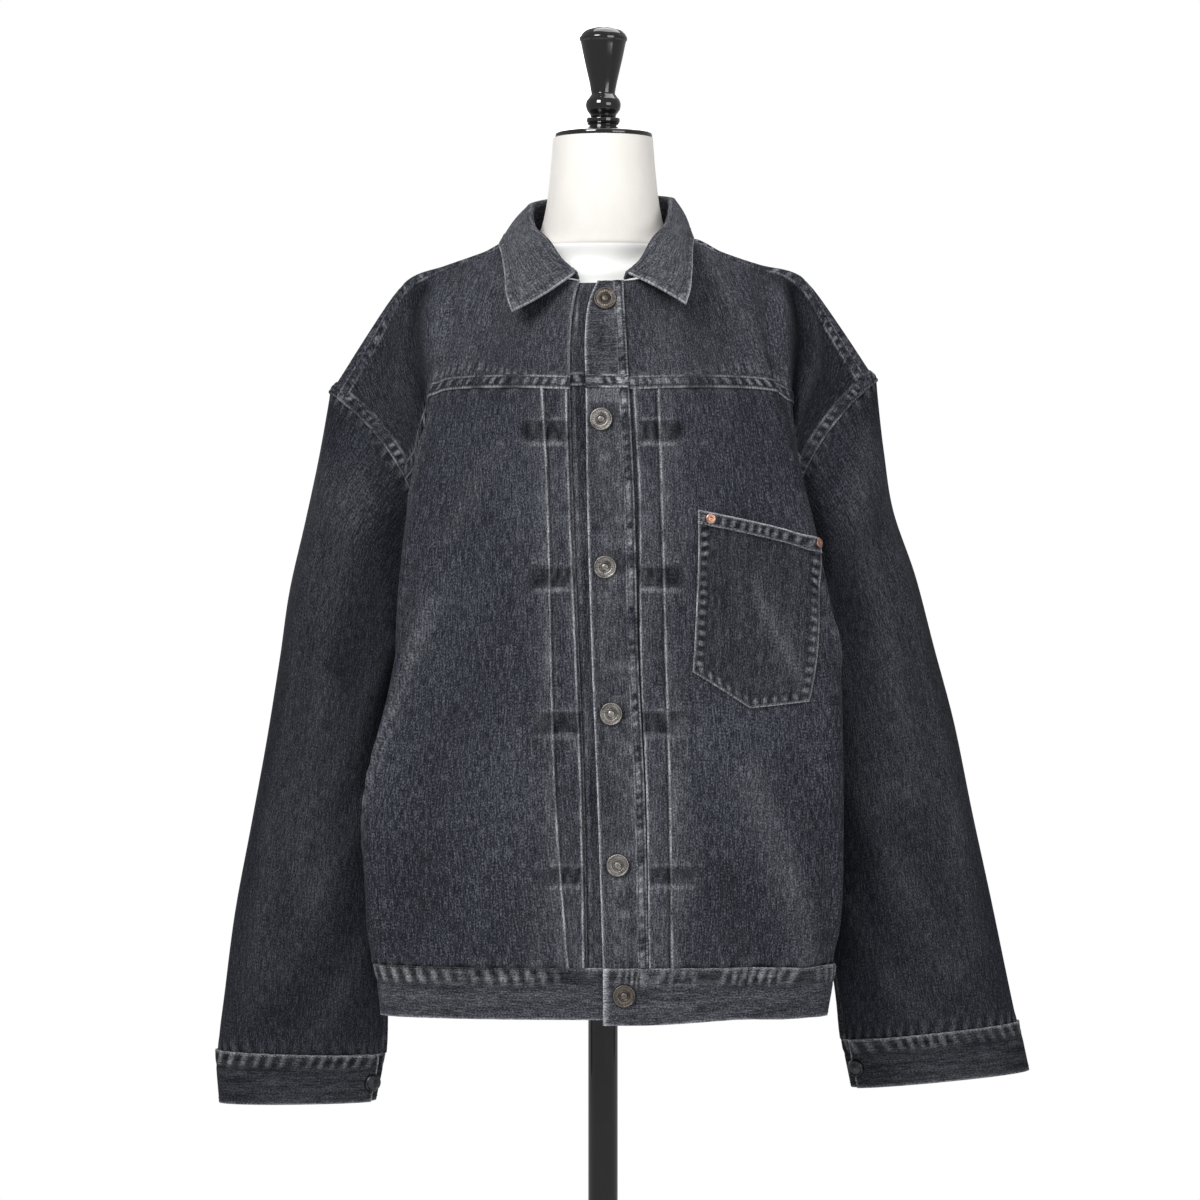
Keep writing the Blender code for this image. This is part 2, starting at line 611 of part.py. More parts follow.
def wall(name, outer, inner, surface):
    """A wall between two grids of points, closed at its edges."""
    rows, columns = outer.shape[:2]
    points = np.concatenate([outer.reshape(-1, 3), inner.reshape(-1, 3)])
    count = rows * columns

    def at(row, col, layer):
        return layer * count + row * columns + col

    faces = []
    for row in range(rows - 1):
        for col in range(columns - 1):
            corners = [(row, col), (row + 1, col), (row + 1, col + 1), (row, col + 1)]
            places = [outer[r, c] for r, c in corners]
            first = np.linalg.norm(places[0] - places[2])
            second = np.linalg.norm(places[1] - places[3])
            if second < first:
                corners = corners[1:] + corners[:1]
            for triangle in (corners[:3], corners[2:] + corners[:1]):
                faces.append([at(r, c, 0) for r, c in triangle])
                faces.append([at(r, c, 1) for r, c in reversed(triangle)])
        for col, flip in ((0, False), (columns - 1, True)):
            rim = [at(row, col, 0), at(row, col, 1), at(row + 1, col, 1), at(row + 1, col, 0)]
            faces.append(rim[::-1] if flip else rim)
    for row, flip in ((0, True), (rows - 1, False)):
        for col in range(columns - 1):
            rim = [at(row, col, 0), at(row, col, 1), at(row, col + 1, 1), at(row, col + 1, 0)]
            faces.append(rim[::-1] if flip else rim)
    return add_mesh(name, points, faces, surface)


def turned(name, profile, surface, place=(0, 0, 0), facing=(0, 0, 1), steps=20):
    """A turned solid: profile lists radius and height from top to bottom on its outer side."""
    mesh = bpy.data.meshes.new(name)
    points = [(radius, 0.0, height) for radius, height in profile]
    mesh.from_pydata(points, [(i, i + 1) for i in range(len(points) - 1)], [])
    made = bpy.data.objects.new(name, mesh)
    COLLECTION.objects.link(made)
    screw = made.modifiers.new("Turn", "SCREW")
    screw.steps = steps
    screw.render_steps = steps
    screw.use_merge_vertices = True
    screw.merge_threshold = 0.00001
    screw.use_normal_calculate = True
    graph = bpy.context.evaluated_depsgraph_get()
    solid = bpy.data.meshes.new_from_object(made.evaluated_get(graph))
    made.modifiers.clear()
    made.data = solid
    bpy.data.meshes.remove(mesh)
    work = bmesh.new()
    work.from_mesh(solid)
    if work.calc_volume(signed=True) < 0:
        bmesh.ops.reverse_faces(work, faces=work.faces)
    work.to_mesh(solid)
    work.free()
    solid.shade_smooth()
    solid.set_sharp_from_angle(angle=math.radians(40))
    solid.materials.append(surface)
    made.location = place
    made.rotation_mode = "QUATERNION"
    upright = Vector((0.0, 0.0, 1.0))
    made.rotation_quaternion = upright.rotation_difference(Vector([float(value) for value in facing]))
    return made


def pleat_lines(side, up):
    """Places across of a front's edge and of its inner and outer pleat, for each row."""
    z = plain_body(side, np.full_like(up, 0.12), up)[..., 2]
    lines = cubic(PLEATS, z)
    bands = cubic(PLACKET, z)
    if side < 0:
        edge = -bands[..., 2]
        inner, outer = lines[..., 0], lines[..., 1]
    else:
        edge = bands[..., 1]
        inner, outer = lines[..., 2], lines[..., 3]
    inner = np.maximum(inner, edge + PLEAT_GAP)
    return [across_at(side, x, up) for x in (edge, inner, inner + PLEAT_RUN, outer, outer + PLEAT_RUN)]


def front_grid(side, heights, columns, pleated):
    """Grids of a front piece: places across, heights, and how far out its two faces lie."""
    lines = pleat_lines(side, heights(np.array([[0.1]]))[:, 0])
    if pleated:
        firsts = np.stack(lines, axis=1)
    else:
        firsts = lines[0][:, None]
    start = firsts[:, -1:]
    rest = np.array(columns)[None, :] + 0 * start
    across = np.concatenate([firsts, rest], axis=1)
    up = heights(across)
    level = np.zeros_like(across)
    if pleated:
        level[:, 2:] += PLEAT_STEP
        level[:, 4:] += PLEAT_STEP
        inside = np.zeros_like(across)
        inside[:, 3:] += PLEAT_STEP
        inside[:, 5:] += PLEAT_STEP
    else:
        level[:] = 2 * PLEAT_STEP * ease(across, start, start + 0.1)
        inside = level.copy()
    return across, up, level, inside


def grid_out(side, across, up):
    """Outward direction of the body's cloth at a grid of its points."""
    points = body(side, across, up)
    outwards = unit(np.cross(np.gradient(points, axis=1), np.gradient(points, axis=0))) * side
    ends = [0, -1]
    outwards[ends] = body_out(side, across[ends], up[ends])
    return outwards


def body_wall(name, side, across, up, level, inside, surface):
    """A wall of one side of the body, its armhole edge cut along the seam."""
    outer = body(side, across, up, level)
    outwards = grid_out(side, across, up)
    angle = armhole_angle(False, np.clip(up[:, -1], 0, 1))
    shared = shared_edge(side, angle, outwards[:, -1], False)
    outwards[:, -1] = np.where(up[:, -1:] > 0, shared, outwards[:, -1])
    inner = outer - outwards * (WALL + level - inside)[..., None]
    return wall(name, outer, inner, surface)


def yoke_up(side):
    """Height fraction of the yoke seam as a function of the place across."""
    places = np.linspace(0, 0.9, 50)
    heights = up_at(side, places, cubic(YOKE_SEAM, places)[..., 0])
    end = armhole_up(False, YOKE_SEAM_ANGLE)
    places = np.append(places, 1.0)
    heights = np.append(heights, end)
    return lambda across: np.interp(across, places, heights)


def armhole_angles():
    """The angles at which every piece meets the armhole's seam."""
    angles = -math.pi + np.arange(ARMHOLE_POINTS) * 2 * math.pi / ARMHOLE_POINTS
    nearest = np.argmin(np.abs(angles - SHOULDER_SEAM_ANGLE))
    angles[nearest] = SHOULDER_SEAM_ANGLE
    return angles


def add_fronts(cloth):
    """Two lower fronts with their pleats, two yokes."""
    gap = SEAM / 2 / UPWARDS
    low = np.linspace(BAND_UP + gap, 0.0, LOWER_ROWS)[:-1]
    angles = armhole_angles()
    under = np.append(math.pi, angles[angles > YOKE_SEAM_ANGLE - 1e-6][::-1])
    over = angles[(angles > SHOULDER_SEAM_ANGLE - 1e-6) & (angles < YOKE_SEAM_ANGLE + 1e-6)][::-1]
    seam_end = armhole_up(False, YOKE_SEAM_ANGLE)
    below = np.append(0.0 * low, armhole_up(False, under) / seam_end)[:, None]
    low = np.append(low, 0.0 * under)[:, None]
    above = ((armhole_up(False, over) - seam_end) / (1 - seam_end))[:, None]
    for side, label in ((-1, "right"), (1, "left")):
        seam = yoke_up(side)

        def front_heights(across):
            return low + below * (seam(across) - gap * (1 + YOKE_GAP_GROWTH * ease(across, 0.6, 0.8)))

        def yoke_heights(across):
            start = seam(across) + gap * (1 + YOKE_GAP_GROWTH * ease(across, 0.6, 0.8))
            return start + (1 - SHOULDER_GAP - start) * above

        across, up, level, inside = front_grid(side, front_heights, CLOTH_COLUMNS, True)
        fade = 1 - ease(across, *SEAM_FADE)
        across[:, -1] -= SEAM / ACROSS * (up[:, -1] <= 0)
        body_wall("front_" + label, side, across, up, level * fade, inside * fade, cloth)
        across, up, level, inside = front_grid(side, yoke_heights, (0.12, 0.19) + CLOTH_COLUMNS, False)
        fade = (1 - ease(across, *SEAM_FADE)) * (1 - ease(up, 0.6, 1.0))
        body_wall("yoke_" + label, side, across, up, level * fade, inside * fade, cloth)


def add_back(cloth):
    """The back, one piece from side to side."""
    gap = SEAM / 2 / UPWARDS
    halves_outer = []
    halves_inner = []
    low = np.linspace(BAND_UP + gap, 0.0, LOWER_ROWS)[:-1]
    angles = armhole_angles()
    angles = angles[angles < SHOULDER_SEAM_ANGLE + 1e-6]
    high = armhole_up(True, angles) * (1 - SHOULDER_GAP)
    up = np.concatenate([low, high])[:, None]
    share = np.array(CLOTH_COLUMNS[::-1] + (0.17, 0.08, 0.0))[None, :]
    for side in (-1, 1):
        across = 2 - share + 0 * up
        across[:, :1] += np.maximum(SEAM / ACROSS * (up <= 0), 1e-6)
        up_grid = up + 0 * across
        outer = body(side, across, up_grid)
        outwards = grid_out(side, across, up_grid)
        angle = armhole_angle(True, np.clip(up[:, 0], 0, 1))
        shared = shared_edge(side, angle, outwards[:, 0], False)
        outwards[:, 0] = np.where(up > 0, shared, outwards[:, 0])
        outwards[:, -1, 0] = 0
        outwards = unit(outwards)
        inner = outer - outwards * WALL
        halves_outer.append(outer)
        halves_inner.append(inner)
    outer = np.concatenate([halves_outer[0], halves_outer[1][:, -2::-1]], axis=1)
    inner = np.concatenate([halves_inner[0], halves_inner[1][:, -2::-1]], axis=1)
    wall("back_panel", outer, inner, cloth)


def add_plackets(cloth):
    """The under placket of the right front and the upper placket of the left front."""
    heights = np.linspace(BAND_TOP_Z + SEAM, PLACKET_TOP_Z, PLACKET_ROWS)
    lines = cubic(PLACKET, heights)
    strips = (
        ("right", lines[:, 2] - UNDER_TURN, lines[:, 1] - UNDER_LAP, -WALL - UNDER_DEPTH, 4),
        ("left", lines[:, 0], lines[:, 1] - SEAM, WALL + PLACKET_RISE, 5),
    )
    for label, start, end, out, columns in strips:
        x = start[:, None] + (end - start)[:, None] * np.linspace(0, 1, columns)[None, :]
        z = heights[:, None] + 0 * x
        outer = front_point(x, z, out)
        inner = front_point(x, z, out - WALL)
        wall("placket_" + label, outer, inner, cloth)


def add_waistband(cloth):
    """The waistband, a strip that laps over itself at the centre front."""
    places = np.concatenate([np.linspace(BAND_TURN, 0.06, 4), np.linspace(0.12, 1.88, 19),
                             [1.97, 2.03], np.linspace(2.12, 3.88, 19), [3.94, 4.0]])
    heights = np.linspace(HEM_Z, BAND_TOP_Z - SEAM, 3)
    outer = np.zeros((len(places), len(heights), 3))
    inner = np.zeros_like(outer)
    for index, place in enumerate(places):
        side = 1 if place < 0 or place > 2 else -1
        across = abs(place) if place < 2 else 4 - place
        up = (heights - UNDERARM_Z) / (UNDERARM_Z - HEM_Z)
        level = BAND_LAP * ease(place, 0.1, 3.9) - BAND_SINK
        point = body(side, np.full(3, across), up, level)
        outwards = body_out(side, np.full(3, np.clip(across, 0.003, 1.997)), up)
        outer[index] = point
        inner[index] = point - outwards * BAND_WALL
    wall("waistband", outer, inner, cloth)


def add_sleeves(cloth, button):
    """Sleeves as hollow tubes of an upper and an under piece, and cuffs that lap over themselves."""
    angles = armhole_angles()
    last = len(SLEEVES[-1])
    stations = np.append(SLEEVE_ROWS, last - 1 - 0.006)
    under = angles[angles < SLEEVE_SEAM_ANGLE + 1e-6]
    upper = np.append(angles[angles > SLEEVE_SEAM_ANGLE - 1e-6], math.pi)
    for side, label in ((-1, "right"), (1, "left")):
        for piece, turns in (("sleeve_under_", under), ("sleeve_", upper)):
            turns = turns.copy()
            turns[0] += SLEEVE_SEAM_GAP
            turns[-1] -= SLEEVE_SEAM_GAP
            angle = turns[:, None] + 0 * stations[None, :]
            along = stations[None, :] + 0 * angle
            outer = sleeve(side, angle, along)
            outwards = sleeve_out(side, angle, along)
            outwards[:, 0] = shared_edge(side, turns, outwards[:, 0], True)
            inner = outer - outwards * WALL
            wall(piece + label, outer, inner, cloth)

        turns = np.linspace(CUFF_START - CUFF_LAP, CUFF_START + 2 * math.pi, 27)
        rows = np.linspace(last - 1 + 0.004, last, 3)
        angle = turns[:, None] + 0 * rows[None, :]
        along = rows[None, :] + 0 * angle
        outer = sleeve(side, angle, np.minimum(along, last - 1e-6))
        outwards = sleeve_out(side, angle, along)
        rise = CUFF_RISE * ease(turns, CUFF_START, CUFF_START + 2 * math.pi)[:, None, None]
        outer = outer + outwards * (rise - CUFF_SINK)
        inner = outer - outwards * CUFF_WALL
        wall("cuff_" + label, outer, inner, cloth)

        spot = (np.array(CUFF_START - CUFF_BUTTON_TURN), np.array(last - CUFF_BUTTON_ROW))
        facing = sleeve_out(side, *spot)
        place = sleeve(side, *spot) + facing * (CUFF_RISE + BUTTON_GAP)
        add_button("cuff_button_" + label, place, facing, CUFF_BUTTON_RADIUS, button)


def add_button(name, place, facing, radius, surface):
    """A shank button: a dished cap with a raised rim and a domed middle."""
    profile = (
        (0.0, 0.0034),
        (radius * 0.40, 0.0029),
        (radius * 0.62, 0.0023),
        (radius * 0.90, 0.0031),
        (radius, 0.0016),
        (radius * 0.92, 0.0),
        (0.0, 0.0),
    )
    turned(name, profile, surface, tuple(place), tuple(facing), steps=12)


def add_pocket(cloth, copper):
    """The patch pocket and its hem, on the wearer's left front."""
    share = np.linspace(0, 1, 14)
    foot = np.interp(share, [0, POCKET_TIP, 1], POCKET_FOOT_Z)
    top = np.interp(share, [0, 1], POCKET_TOP_Z)
    hem = top - POCKET_HEM

    def grid(low, high, rows):
        down = np.linspace(0, 1, rows)[:, None]
        z = high * (1 - down) + low * down
        depth = (top - z) / (top - foot)
        left = POCKET_LEFT[0] + (POCKET_LEFT[1] - POCKET_LEFT[0]) * depth
        right = POCKET_RIGHT[0] + (POCKET_RIGHT[1] - POCKET_RIGHT[0]) * depth
        across = left + (right - left) * share
        return across, up_at(1, across, z)

    lift = 2 * PLEAT_STEP + POCKET_GAP
    across, up = grid(foot, hem - SEAM, 8)
    outer = body(1, across, up, lift + WALL)
    wall("pocket", outer, outer - body_out(1, across, up) * WALL, cloth)
    across, up = grid(hem, top, 3)
    outer = body(1, across, up, lift + HEM_WALL)
    wall("pocket_hem", outer, outer - body_out(1, across, up) * HEM_WALL, cloth)
    for index, inset in enumerate(RIVET_INSETS):
        z = np.interp(inset, [0, 1], POCKET_TOP_Z) - POCKET_HEM / 2
        place = POCKET_LEFT[0] + (POCKET_RIGHT[0] - POCKET_LEFT[0]) * inset
        rise = up_at(1, np.array(place), np.array(z))
        point = body(1, np.array(place), rise, lift + HEM_WALL + SEAM)
        facing = body_out(1, np.array(place), rise)
        profile = ((0.0, 0.0012), (RIVET_RADIUS * 0.55, 0.0014), (RIVET_RADIUS * 0.8, 0.0010),
                   (RIVET_RADIUS, 0.0), (0.0, 0.0))
        turned(f"rivet_{index + 1}", profile, copper, tuple(point), tuple(facing), steps=12)


def collar_line(side, share):
    """Neck seam, roll and edge of the collar's leaf for one half."""
    row = cubic(COLLAR[side], share)
    flip = np.array([side, 1.0, 1.0])
    return row[..., 0:3] * flip, row[..., 3:6] * flip, row[..., 6:9] * flip


def add_collar(cloth):
    """The collar: a sheet that stands up from the neck seam, rolls over and falls outside."""
    shares = np.linspace(0, 1, COLLAR_SECTIONS)
    sections = [(-1, share) for share in shares] + [(1, share) for share in shares[-2::-1]]
    middle = []
    for side, share in sections:
        seam, roll, edge = collar_line(side, np.array(share))
        inwards = unit(roll - seam)
        outwards = unit(edge - roll)
        apart = unit(outwards - (outwards @ inwards) * inwards)
        points = [seam, (seam + roll) / 2, roll]
        for turn in (45, 90, 135):
            angle = math.radians(turn)
            rounded = apart * (1 - math.cos(angle)) + inwards * math.sin(angle)
            points.append(roll + rounded * ROLL_RADIUS)
        outer_top = roll + apart * 2 * ROLL_RADIUS
        for t in (0.0, 0.33, 0.66, 1.0):
            points.append(outer_top * (1 - t) + edge * t)
        middle.append(points)
    middle = np.array(middle)
    along = np.gradient(middle, axis=0)
    across = np.gradient(middle, axis=1)
    normal = unit(np.cross(along, across))
    outer = middle + normal * COLLAR_WALL / 2
    inner = middle - normal * COLLAR_WALL / 2
    wall("collar", outer, inner, cloth)


def add_stand(canvas, black):
    """The form, its cap and finial, the pole and the base."""
    rows = np.array(FORM_RINGS)
    around = 28
    angles = np.linspace(0, 2 * math.pi, around, endpoint=False)
    power = 2.0 / FORM_SQUARENESS
    rings = []
    for front_z, side_z, width, depth, centre_y in rows:
        round_share = 1.0 if width < 0.06 else power
        sine = np.sign(np.sin(angles)) * np.abs(np.sin(angles)) ** round_share
        cosine = np.sign(np.cos(angles)) * np.abs(np.cos(angles)) ** round_share
        z = front_z + (side_z - front_z) * np.sin(angles) ** 2
        forward, middle_z, tall, wide = FORM_FRONT
        x = width * sine
        swell = forward * np.exp(-(((z - middle_z) / tall) ** 2) - (x / wide) ** 2)
        swell = swell * np.clip(2 * cosine, 0, 1)
        rings.append(np.stack([x, centre_y - depth * cosine - swell, z], axis=-1))
    points = np.concatenate(rings)
    faces = []
    for ring in range(len(rings) - 1):
        for step in range(around):
            after = (step + 1) % around
            faces.append([ring * around + step, ring * around + after,
                          (ring + 1) * around + after, (ring + 1) * around + step])
    faces.append(list(range(around))[::-1])
    faces.append([(len(rings) - 1) * around + step for step in range(around)])
    add_mesh("form_torso", points, faces, canvas)

    cap_z = NECK_TOP_Z + SEAM
    turned("neck_cap", (
        (0.0, 0.0163), (0.0141, 0.0163), (0.0141, 0.0126), (0.0125, 0.0122), (0.0300, 0.0062),
        (0.0412, 0.0034), (0.0414, 0.0006), (0.0408, 0.0), (0.0, 0.0),
    ), black, (0, 0, cap_z))
    finial_z = cap_z + 0.0163 + SEAM
    tall = STAND_TOP_Z - finial_z
    turned("finial", (
        (0.0, tall), (0.0090, tall - 0.0008), (0.0160, tall - 0.0033), (0.0196, tall - 0.0072),
        (0.0204, tall - 0.0100), (0.0200, tall - 0.0120), (0.0150, tall - 0.0330),
        (0.0101, tall - 0.0555), (0.0118, tall - 0.0585), (0.0145, tall - 0.0615),
        (0.0151, tall - 0.0655), (0.0138, tall - 0.0700), (0.0105, 0.0), (0.0, 0.0),
    ), black, (0, 0, finial_z))
    turned("pole", (
        (0.0, FORM_FOOT_Z - SEAM), (POLE_RADIUS, FORM_FOOT_Z - SEAM),
        (POLE_RADIUS, BASE_TOP_Z + SEAM), (0.0, BASE_TOP_Z + SEAM),
    ), black)
    turned("base", (
        (0.0, BASE_TOP_Z), (BASE_HUB_RADIUS - 0.002, BASE_TOP_Z), (BASE_HUB_RADIUS, BASE_TOP_Z - 0.002),
        (BASE_HUB_RADIUS, 0.016), (BASE_HUB_RADIUS + 0.006, 0.0125), (BASE_RADIUS - 0.010, 0.0095),
        (BASE_RADIUS - 0.002, BASE_EDGE), (BASE_RADIUS, BASE_EDGE - 0.003), (BASE_RADIUS, 0.001),
        (BASE_RADIUS - 0.001, 0.0), (0.0, 0.0),
    ), black, steps=32)


def add_front_buttons(metal):
    """Five buttons down the placket and one on the waistband."""
    for index, (x, z) in enumerate(BUTTON_PLACES):
        gap = BAND_BUTTON_GAP if z < BAND_TOP_Z else BUTTON_GAP
        place = front_point(x, z, WALL + PLACKET_RISE + gap)
        beside = front_point(x + 0.004, z, 0.0) - front_point(x - 0.004, z, 0.0)
        above = front_point(x, z + 0.004, 0.0) - front_point(x, z - 0.004, 0.0)
        facing = unit(np.cross(beside, above))
        add_button(f"button_{index + 1}", place, facing, BUTTON_RADIUS, metal)


for old in list(bpy.data.objects):
    bpy.data.objects.remove(old, do_unlink=True)
COLLECTION = bpy.data.collections.new("denim_jacket")
bpy.context.scene.collection.children.link(COLLECTION)

denim = material("washed_denim", (0.035, 0.038, 0.050), 0.85)
cotton = material("form_cloth", (0.90, 0.88, 0.83), 0.70)
lacquer = material("black_lacquer", (0.008, 0.008, 0.010), 0.12)
antique = material("antique_metal", (0.32, 0.29, 0.26), 0.38, 1.0)
copper_metal = material("copper", (0.52, 0.27, 0.19), 0.35, 1.0)

add_stand(cotton, lacquer)
add_back(denim)
add_fronts(denim)
add_plackets(denim)
add_waistband(denim)
add_sleeves(denim, antique)
add_collar(denim)
add_pocket(denim, copper_metal)
add_front_buttons(antique)
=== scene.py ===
import math

import bpy
import numpy as np
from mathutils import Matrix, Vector


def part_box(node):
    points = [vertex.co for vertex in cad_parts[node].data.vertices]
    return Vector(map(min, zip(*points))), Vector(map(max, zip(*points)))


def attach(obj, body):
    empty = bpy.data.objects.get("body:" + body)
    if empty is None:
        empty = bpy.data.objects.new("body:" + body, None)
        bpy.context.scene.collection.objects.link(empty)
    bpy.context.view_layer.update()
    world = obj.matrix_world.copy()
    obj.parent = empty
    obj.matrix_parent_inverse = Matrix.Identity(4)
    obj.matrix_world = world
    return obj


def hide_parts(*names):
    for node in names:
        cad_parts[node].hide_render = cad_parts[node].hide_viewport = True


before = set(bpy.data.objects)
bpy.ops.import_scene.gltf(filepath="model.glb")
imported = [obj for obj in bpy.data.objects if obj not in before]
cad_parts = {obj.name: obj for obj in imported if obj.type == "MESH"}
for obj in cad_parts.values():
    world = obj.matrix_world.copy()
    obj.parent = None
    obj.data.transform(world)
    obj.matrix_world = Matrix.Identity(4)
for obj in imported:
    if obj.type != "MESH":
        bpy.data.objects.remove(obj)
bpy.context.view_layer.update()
SCENE = bpy.context.scene

# Camera: distance in front of the part's middle, height, point aimed at, width seen there
CAMERA_AWAY = 3.2
CAMERA_Z = 1.080
AIM = (-0.0025, 0.0, 1.0395)
SEEN_WIDTH = 1.008
SENSOR_MM = 36.0

# Cloth, as in the solids
WALL = 0.0016
BAND_WALL = 0.0021
CUFF_WALL = 0.0018
PLEAT_STEP = 0.0016
HEM_Z = 0.7000
BAND_TOP_Z = 0.7425
UNDERARM_Z = 1.0450
BAND_UP = (BAND_TOP_Z - UNDERARM_Z) / (UNDERARM_Z - HEM_Z)
BODY_CENTRE_Y = 0.004
BODY_SQUARENESS = 2.4
SIDE_TURN = (36.0, 82.0)
CHEST_INSET = {-1: 0.013, 1: 0.009}
SHOULDER_SHARE = 0.35
PULL_SHARE = 0.55
TURN_SHARE = 0.60
PULL_POWER = 1.3
TURN_ROWS = (0.0, 0.22, 0.72, 1.0)

# Body rings: height, half width of the right front, right back, left front and left back,
# depth of the front and of the back. The wearer's left is +X.
BODY_RINGS = (
    (0.7000, 0.1830, 0.1650, 0.1815, 0.1650, 0.1180, 0.1120),
    (0.7425, 0.1870, 0.1660, 0.1885, 0.1665, 0.1180, 0.1140),
    (0.7950, 0.1885, 0.1655, 0.1935, 0.1670, 0.1175, 0.1150),
    (0.8400, 0.1900, 0.1640, 0.1942, 0.1665, 0.1170, 0.1150),
    (0.8800, 0.1855, 0.1610, 0.1942, 0.1650, 0.1170, 0.1150),
    (0.9300, 0.1775, 0.1560, 0.1935, 0.1620, 0.1165, 0.1140),
    (0.9870, 0.1700, 0.1500, 0.1895, 0.1570, 0.1160, 0.1120),
    (1.0450, 0.1655, 0.1440, 0.1805, 0.1500, 0.1155, 0.1100),
    (1.0900, 0.1600, 0.1400, 0.1745, 0.1460, 0.1150, 0.1080),
)

# Upper edge of the front: share of the way to the armhole, place, direction of the cloth, its pull
FRONT_TOP = (
    (0.00, 0.0000, -0.0930, 1.3005, 0.00, 0.35, 0.94, 0.16),
    (0.12, 0.0300, -0.0895, 1.3030, 0.00, 0.40, 0.92, 0.16),
    (0.24, 0.0560, -0.0640, 1.3150, 0.00, 0.60, 0.80, 0.16),
    (0.35, 0.0720, -0.0120, 1.3395, 0.00, 0.96, 0.28, 0.17),
    (0.50, 0.1000, -0.0120, 1.3285, 0.00, 0.98, 0.20, 0.18),
    (0.65, 0.1320, -0.0120, 1.3175, 0.00, 0.98, 0.20, 0.17),
    (0.77, 0.1580, -0.0120, 1.3095, 0.15, 0.94, 0.30, 0.14),
    (0.83, 0.1680, -0.0130, 1.3000, 0.45, 0.74, 0.50, 0.13),
    (0.91, 0.1900, -0.0150, 1.2610, 0.62, 0.48, 0.62, 0.14),
    (1.00, 0.2190, -0.0200, 1.2120, 0.60, 0.55, 0.55, 0.12),
)
BACK_NECK = (
    (0.00, 0.0000, 0.0660, 1.3520, 0.00, -0.35, 0.94, 0.12),
    (0.10, 0.0220, 0.0640, 1.3520, 0.00, -0.38, 0.92, 0.12),
    (0.21, 0.0480, 0.0480, 1.3490, 0.00, -0.60, 0.78, 0.12),
    (0.29, 0.0640, 0.0190, 1.3430, 0.00, -0.85, 0.38, 0.14),
)

# Armholes: outer points, then depth and inward bow of the front and back halves, seam angles
ARMHOLE_TOPS = {-1: (-0.2290, 0.0040, 1.2140), 1: (0.2295, 0.0040, 1.2240)}
ARMHOLE_DEPTHS = (0.046, 0.062)
ARMHOLE_BOWS = (0.026, 0.012)
SHOULDER_SEAM_ANGLE = math.radians(24.0)
YOKE_SEAM_ANGLE = math.radians(90.0)
ARMHOLE_POWER = 0.75

# Sleeve rings: outer edge x and z, inner edge x and z, centre y, half depth. X is outwards.
SLEEVES = {
    -1: (
        (0.2400, 1.1560, 0.1540, 1.0180, 0.016, 0.073),
        (0.2515, 1.1050, 0.1580, 0.9960, 0.022, 0.070),
        (0.2650, 1.0470, 0.1620, 0.9700, 0.025, 0.067),
        (0.2735, 0.9900, 0.1670, 0.9400, 0.027, 0.063),
        (0.2850, 0.9200, 0.1725, 0.8900, 0.029, 0.057),
        (0.2980, 0.8500, 0.1790, 0.8300, 0.030, 0.051),
        (0.3120, 0.7760, 0.1815, 0.7600, 0.031, 0.044),
        (0.3210, 0.7080, 0.1840, 0.7000, 0.031, 0.035),
        (0.3265, 0.6580, 0.1855, 0.6550, 0.030, 0.025),
        (0.3240, 0.6130, 0.1930, 0.6150, 0.030, 0.021),
    ),
    1: (
        (0.2365, 1.1650, 0.1600, 1.0180, 0.016, 0.073),
        (0.2450, 1.1150, 0.1640, 0.9960, 0.022, 0.070),
        (0.2640, 1.0600, 0.1680, 0.9700, 0.025, 0.067),
        (0.2800, 1.0000, 0.1730, 0.9420, 0.027, 0.063),
        (0.2975, 0.9350, 0.1775, 0.8980, 0.029, 0.057),
        (0.3130, 0.8600, 0.1835, 0.8380, 0.030, 0.050),
        (0.3290, 0.7870, 0.1900, 0.7700, 0.031, 0.042),
        (0.3430, 0.7200, 0.1990, 0.7050, 0.031, 0.033),
        (0.3510, 0.6820, 0.2030, 0.6670, 0.030, 0.025),
        (0.3600, 0.6400, 0.2110, 0.6260, 0.030, 0.021),
    ),
}
SLEEVE_LAST = 10
SLEEVE_SQUARENESS = 2.2
SLEEVE_CLEARANCE = 0.0006
SLEEVE_TOUCH = 0.0014
UNDERARM_BULGE = 0.030
SHOULDER_GAP = 0.0016
CUFF_START = math.radians(156.0)
CUFF_LAP = math.radians(28.0)
CUFF_RISE = 0.0028
HALVINGS = 14

